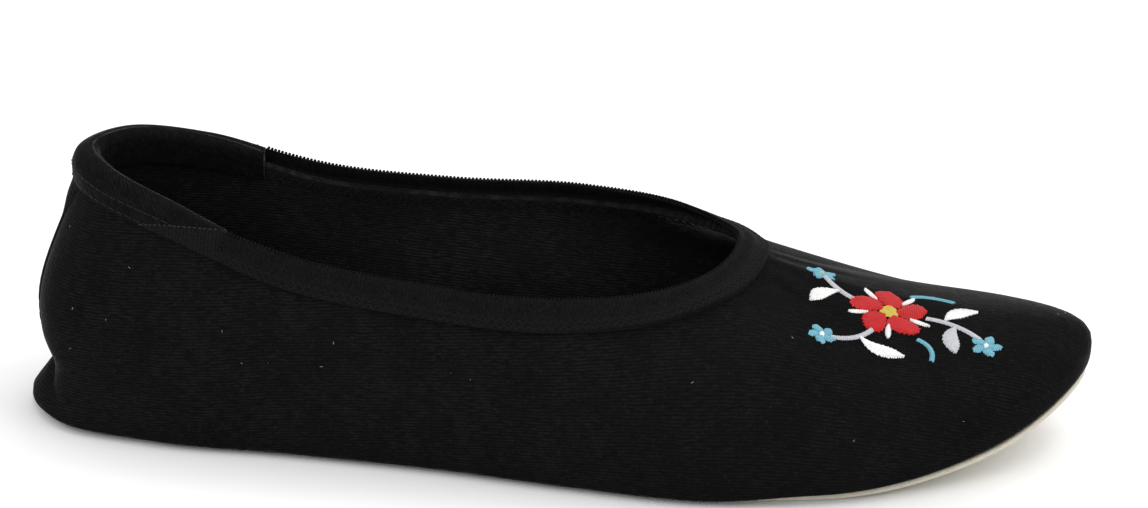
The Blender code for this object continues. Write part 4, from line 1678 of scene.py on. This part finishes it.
CAMERA_AZIMUTH = math.radians(6.5)
CAMERA_ELEVATION = math.radians(21.5)
CAMERA_ROLL = math.radians(0.4)
CAMERA_DISTANCE = 900.0
CAMERA_TARGET = (102.2, 2.0, 33.5)
CAMERA_LENS = 149.6
CLIP_START = 0.01
FLOOR_SIZE = 6.0
FLOOR_LEVEL = -0.0001


class Lamp(NamedTuple):
    """A soft area light: its azimuth and elevation from the slipper, distance, size and power."""

    name: str
    azimuth: float
    elevation: float
    distance: float
    size: float
    power: float


LAMPS = (
    Lamp("key", -25.0, 32.0, 1.1, 0.9, 3.8),
    Lamp("fill", 78.0, 48.0, 1.2, 1.0, 6.5),
    Lamp("back", 165.0, 55.0, 1.2, 0.9, 3.4),
)
WORLD_STRENGTH = 0.88


def away_from(azimuth, elevation):
    """Unit direction from the slipper to a viewer; azimuth 0 looks along +y."""
    return Vector((
        math.sin(azimuth) * math.cos(elevation), -math.cos(azimuth) * math.cos(elevation), math.sin(elevation)
    ))


class SLIPPER_OT_stage(bpy.types.Operator):
    """Set up the pale floor, the soft lights and the camera"""

    bl_idname = "slipper.stage"
    bl_label = "Stage"

    def execute(self, context):
        self.floor(context.scene.slipper_colours)
        self.lights(context.scene)
        self.camera(context.scene)
        context.scene.view_settings.view_transform = "Standard"
        return {"FINISHED"}

    def floor(self, colours):
        half = FLOOR_SIZE / 2
        mesh = bpy.data.meshes.new("floor")
        corners = [(-half, -half), (half, -half), (half, half), (-half, half)]
        mesh.from_pydata([(x, y, FLOOR_LEVEL) for x, y in corners], [], [(0, 1, 2, 3)])
        finish = Finish("studio_floor", {"Specular IOR Level": 0.1, "Roughness": 0.9})
        soft = finish.noise(0.5, 1)
        finish.feed("Base Color", finish.mix(soft, rgba(colours.floor, 0.99), rgba(colours.floor)))
        add_piece("floor", mesh, (finish.material,))

    def lights(self, scene):
        for lamp in LAMPS:
            light = bpy.data.lights.new(lamp.name, "AREA")
            light.energy, light.size = lamp.power, lamp.size
            way = away_from(math.radians(lamp.azimuth), math.radians(lamp.elevation))
            placed = bpy.data.objects.new(lamp.name, light)
            placed.location = way * lamp.distance
            placed.rotation_euler = way.to_track_quat("Z", "Y").to_euler()
            scene.collection.objects.link(placed)
        world = bpy.data.worlds.new("studio")
        world.use_nodes = True
        background = world.node_tree.nodes["Background"]
        background.inputs["Color"].default_value = (1.0, 1.0, 1.0, 1.0)
        background.inputs["Strength"].default_value = WORLD_STRENGTH
        scene.world = world

    def camera(self, scene):
        lens = bpy.data.cameras.new("camera")
        lens.lens = CAMERA_LENS
        lens.sensor_fit = "HORIZONTAL"
        lens.clip_start = CLIP_START
        back = away_from(CAMERA_AZIMUTH, CAMERA_ELEVATION)
        right = Vector((math.cos(CAMERA_AZIMUTH), math.sin(CAMERA_AZIMUTH), 0.0))
        up = back.cross(right)
        rolled = right * math.cos(CAMERA_ROLL) + up * math.sin(CAMERA_ROLL)
        upright_axis = up * math.cos(CAMERA_ROLL) - right * math.sin(CAMERA_ROLL)
        place = (Vector(CAMERA_TARGET) + Vector(SHIFT) + back * CAMERA_DISTANCE) * MM
        camera = bpy.data.objects.new("camera", lens)
        turn = Matrix((rolled, upright_axis, back)).transposed().to_4x4()
        camera.matrix_world = Matrix.Translation(place) @ turn
        scene.collection.objects.link(camera)
        scene.camera = camera


class SLIPPER_PT_panel(bpy.types.Panel):
    """Sizes, colours and pieces of the slipper"""

    bl_label = "Gymnastics Slipper"
    bl_idname = "SLIPPER_PT_panel"
    bl_space_type = "VIEW_3D"
    bl_region_type = "UI"
    bl_category = "Slipper"

    def draw(self, context):
        for group in (context.scene.slipper_sizes, context.scene.slipper_colours):
            box = self.layout.box()
            for name in group.bl_rna.properties.keys():
                if name not in ("rna_type", "name"):
                    box.prop(group, name)
        for operator in OPERATORS:
            self.layout.operator(operator.bl_idname)


OPERATORS = (
    SLIPPER_OT_upper,
    SLIPPER_OT_sole,
    SLIPPER_OT_elastic,
    SLIPPER_OT_heel,
    SLIPPER_OT_embroidery,
    SLIPPER_OT_lint,
    SLIPPER_OT_stage,
)
CLASSES = (SlipperSizes, SlipperColours, *OPERATORS, SLIPPER_PT_panel)


def register():
    for cls in CLASSES:
        bpy.utils.register_class(cls)
    bpy.types.Scene.slipper_sizes = bpy.props.PointerProperty(type=SlipperSizes)
    bpy.types.Scene.slipper_colours = bpy.props.PointerProperty(type=SlipperColours)


def unregister():
    del bpy.types.Scene.slipper_colours
    del bpy.types.Scene.slipper_sizes
    for cls in reversed(CLASSES):
        bpy.utils.unregister_class(cls)


def main():
    register()
    bpy.ops.slipper.upper()
    bpy.ops.slipper.sole()
    bpy.ops.slipper.elastic()
    bpy.ops.slipper.heel()
    bpy.ops.slipper.embroidery()
    bpy.ops.slipper.lint()
    bpy.ops.slipper.stage()


if __name__ == "__main__":
    main()
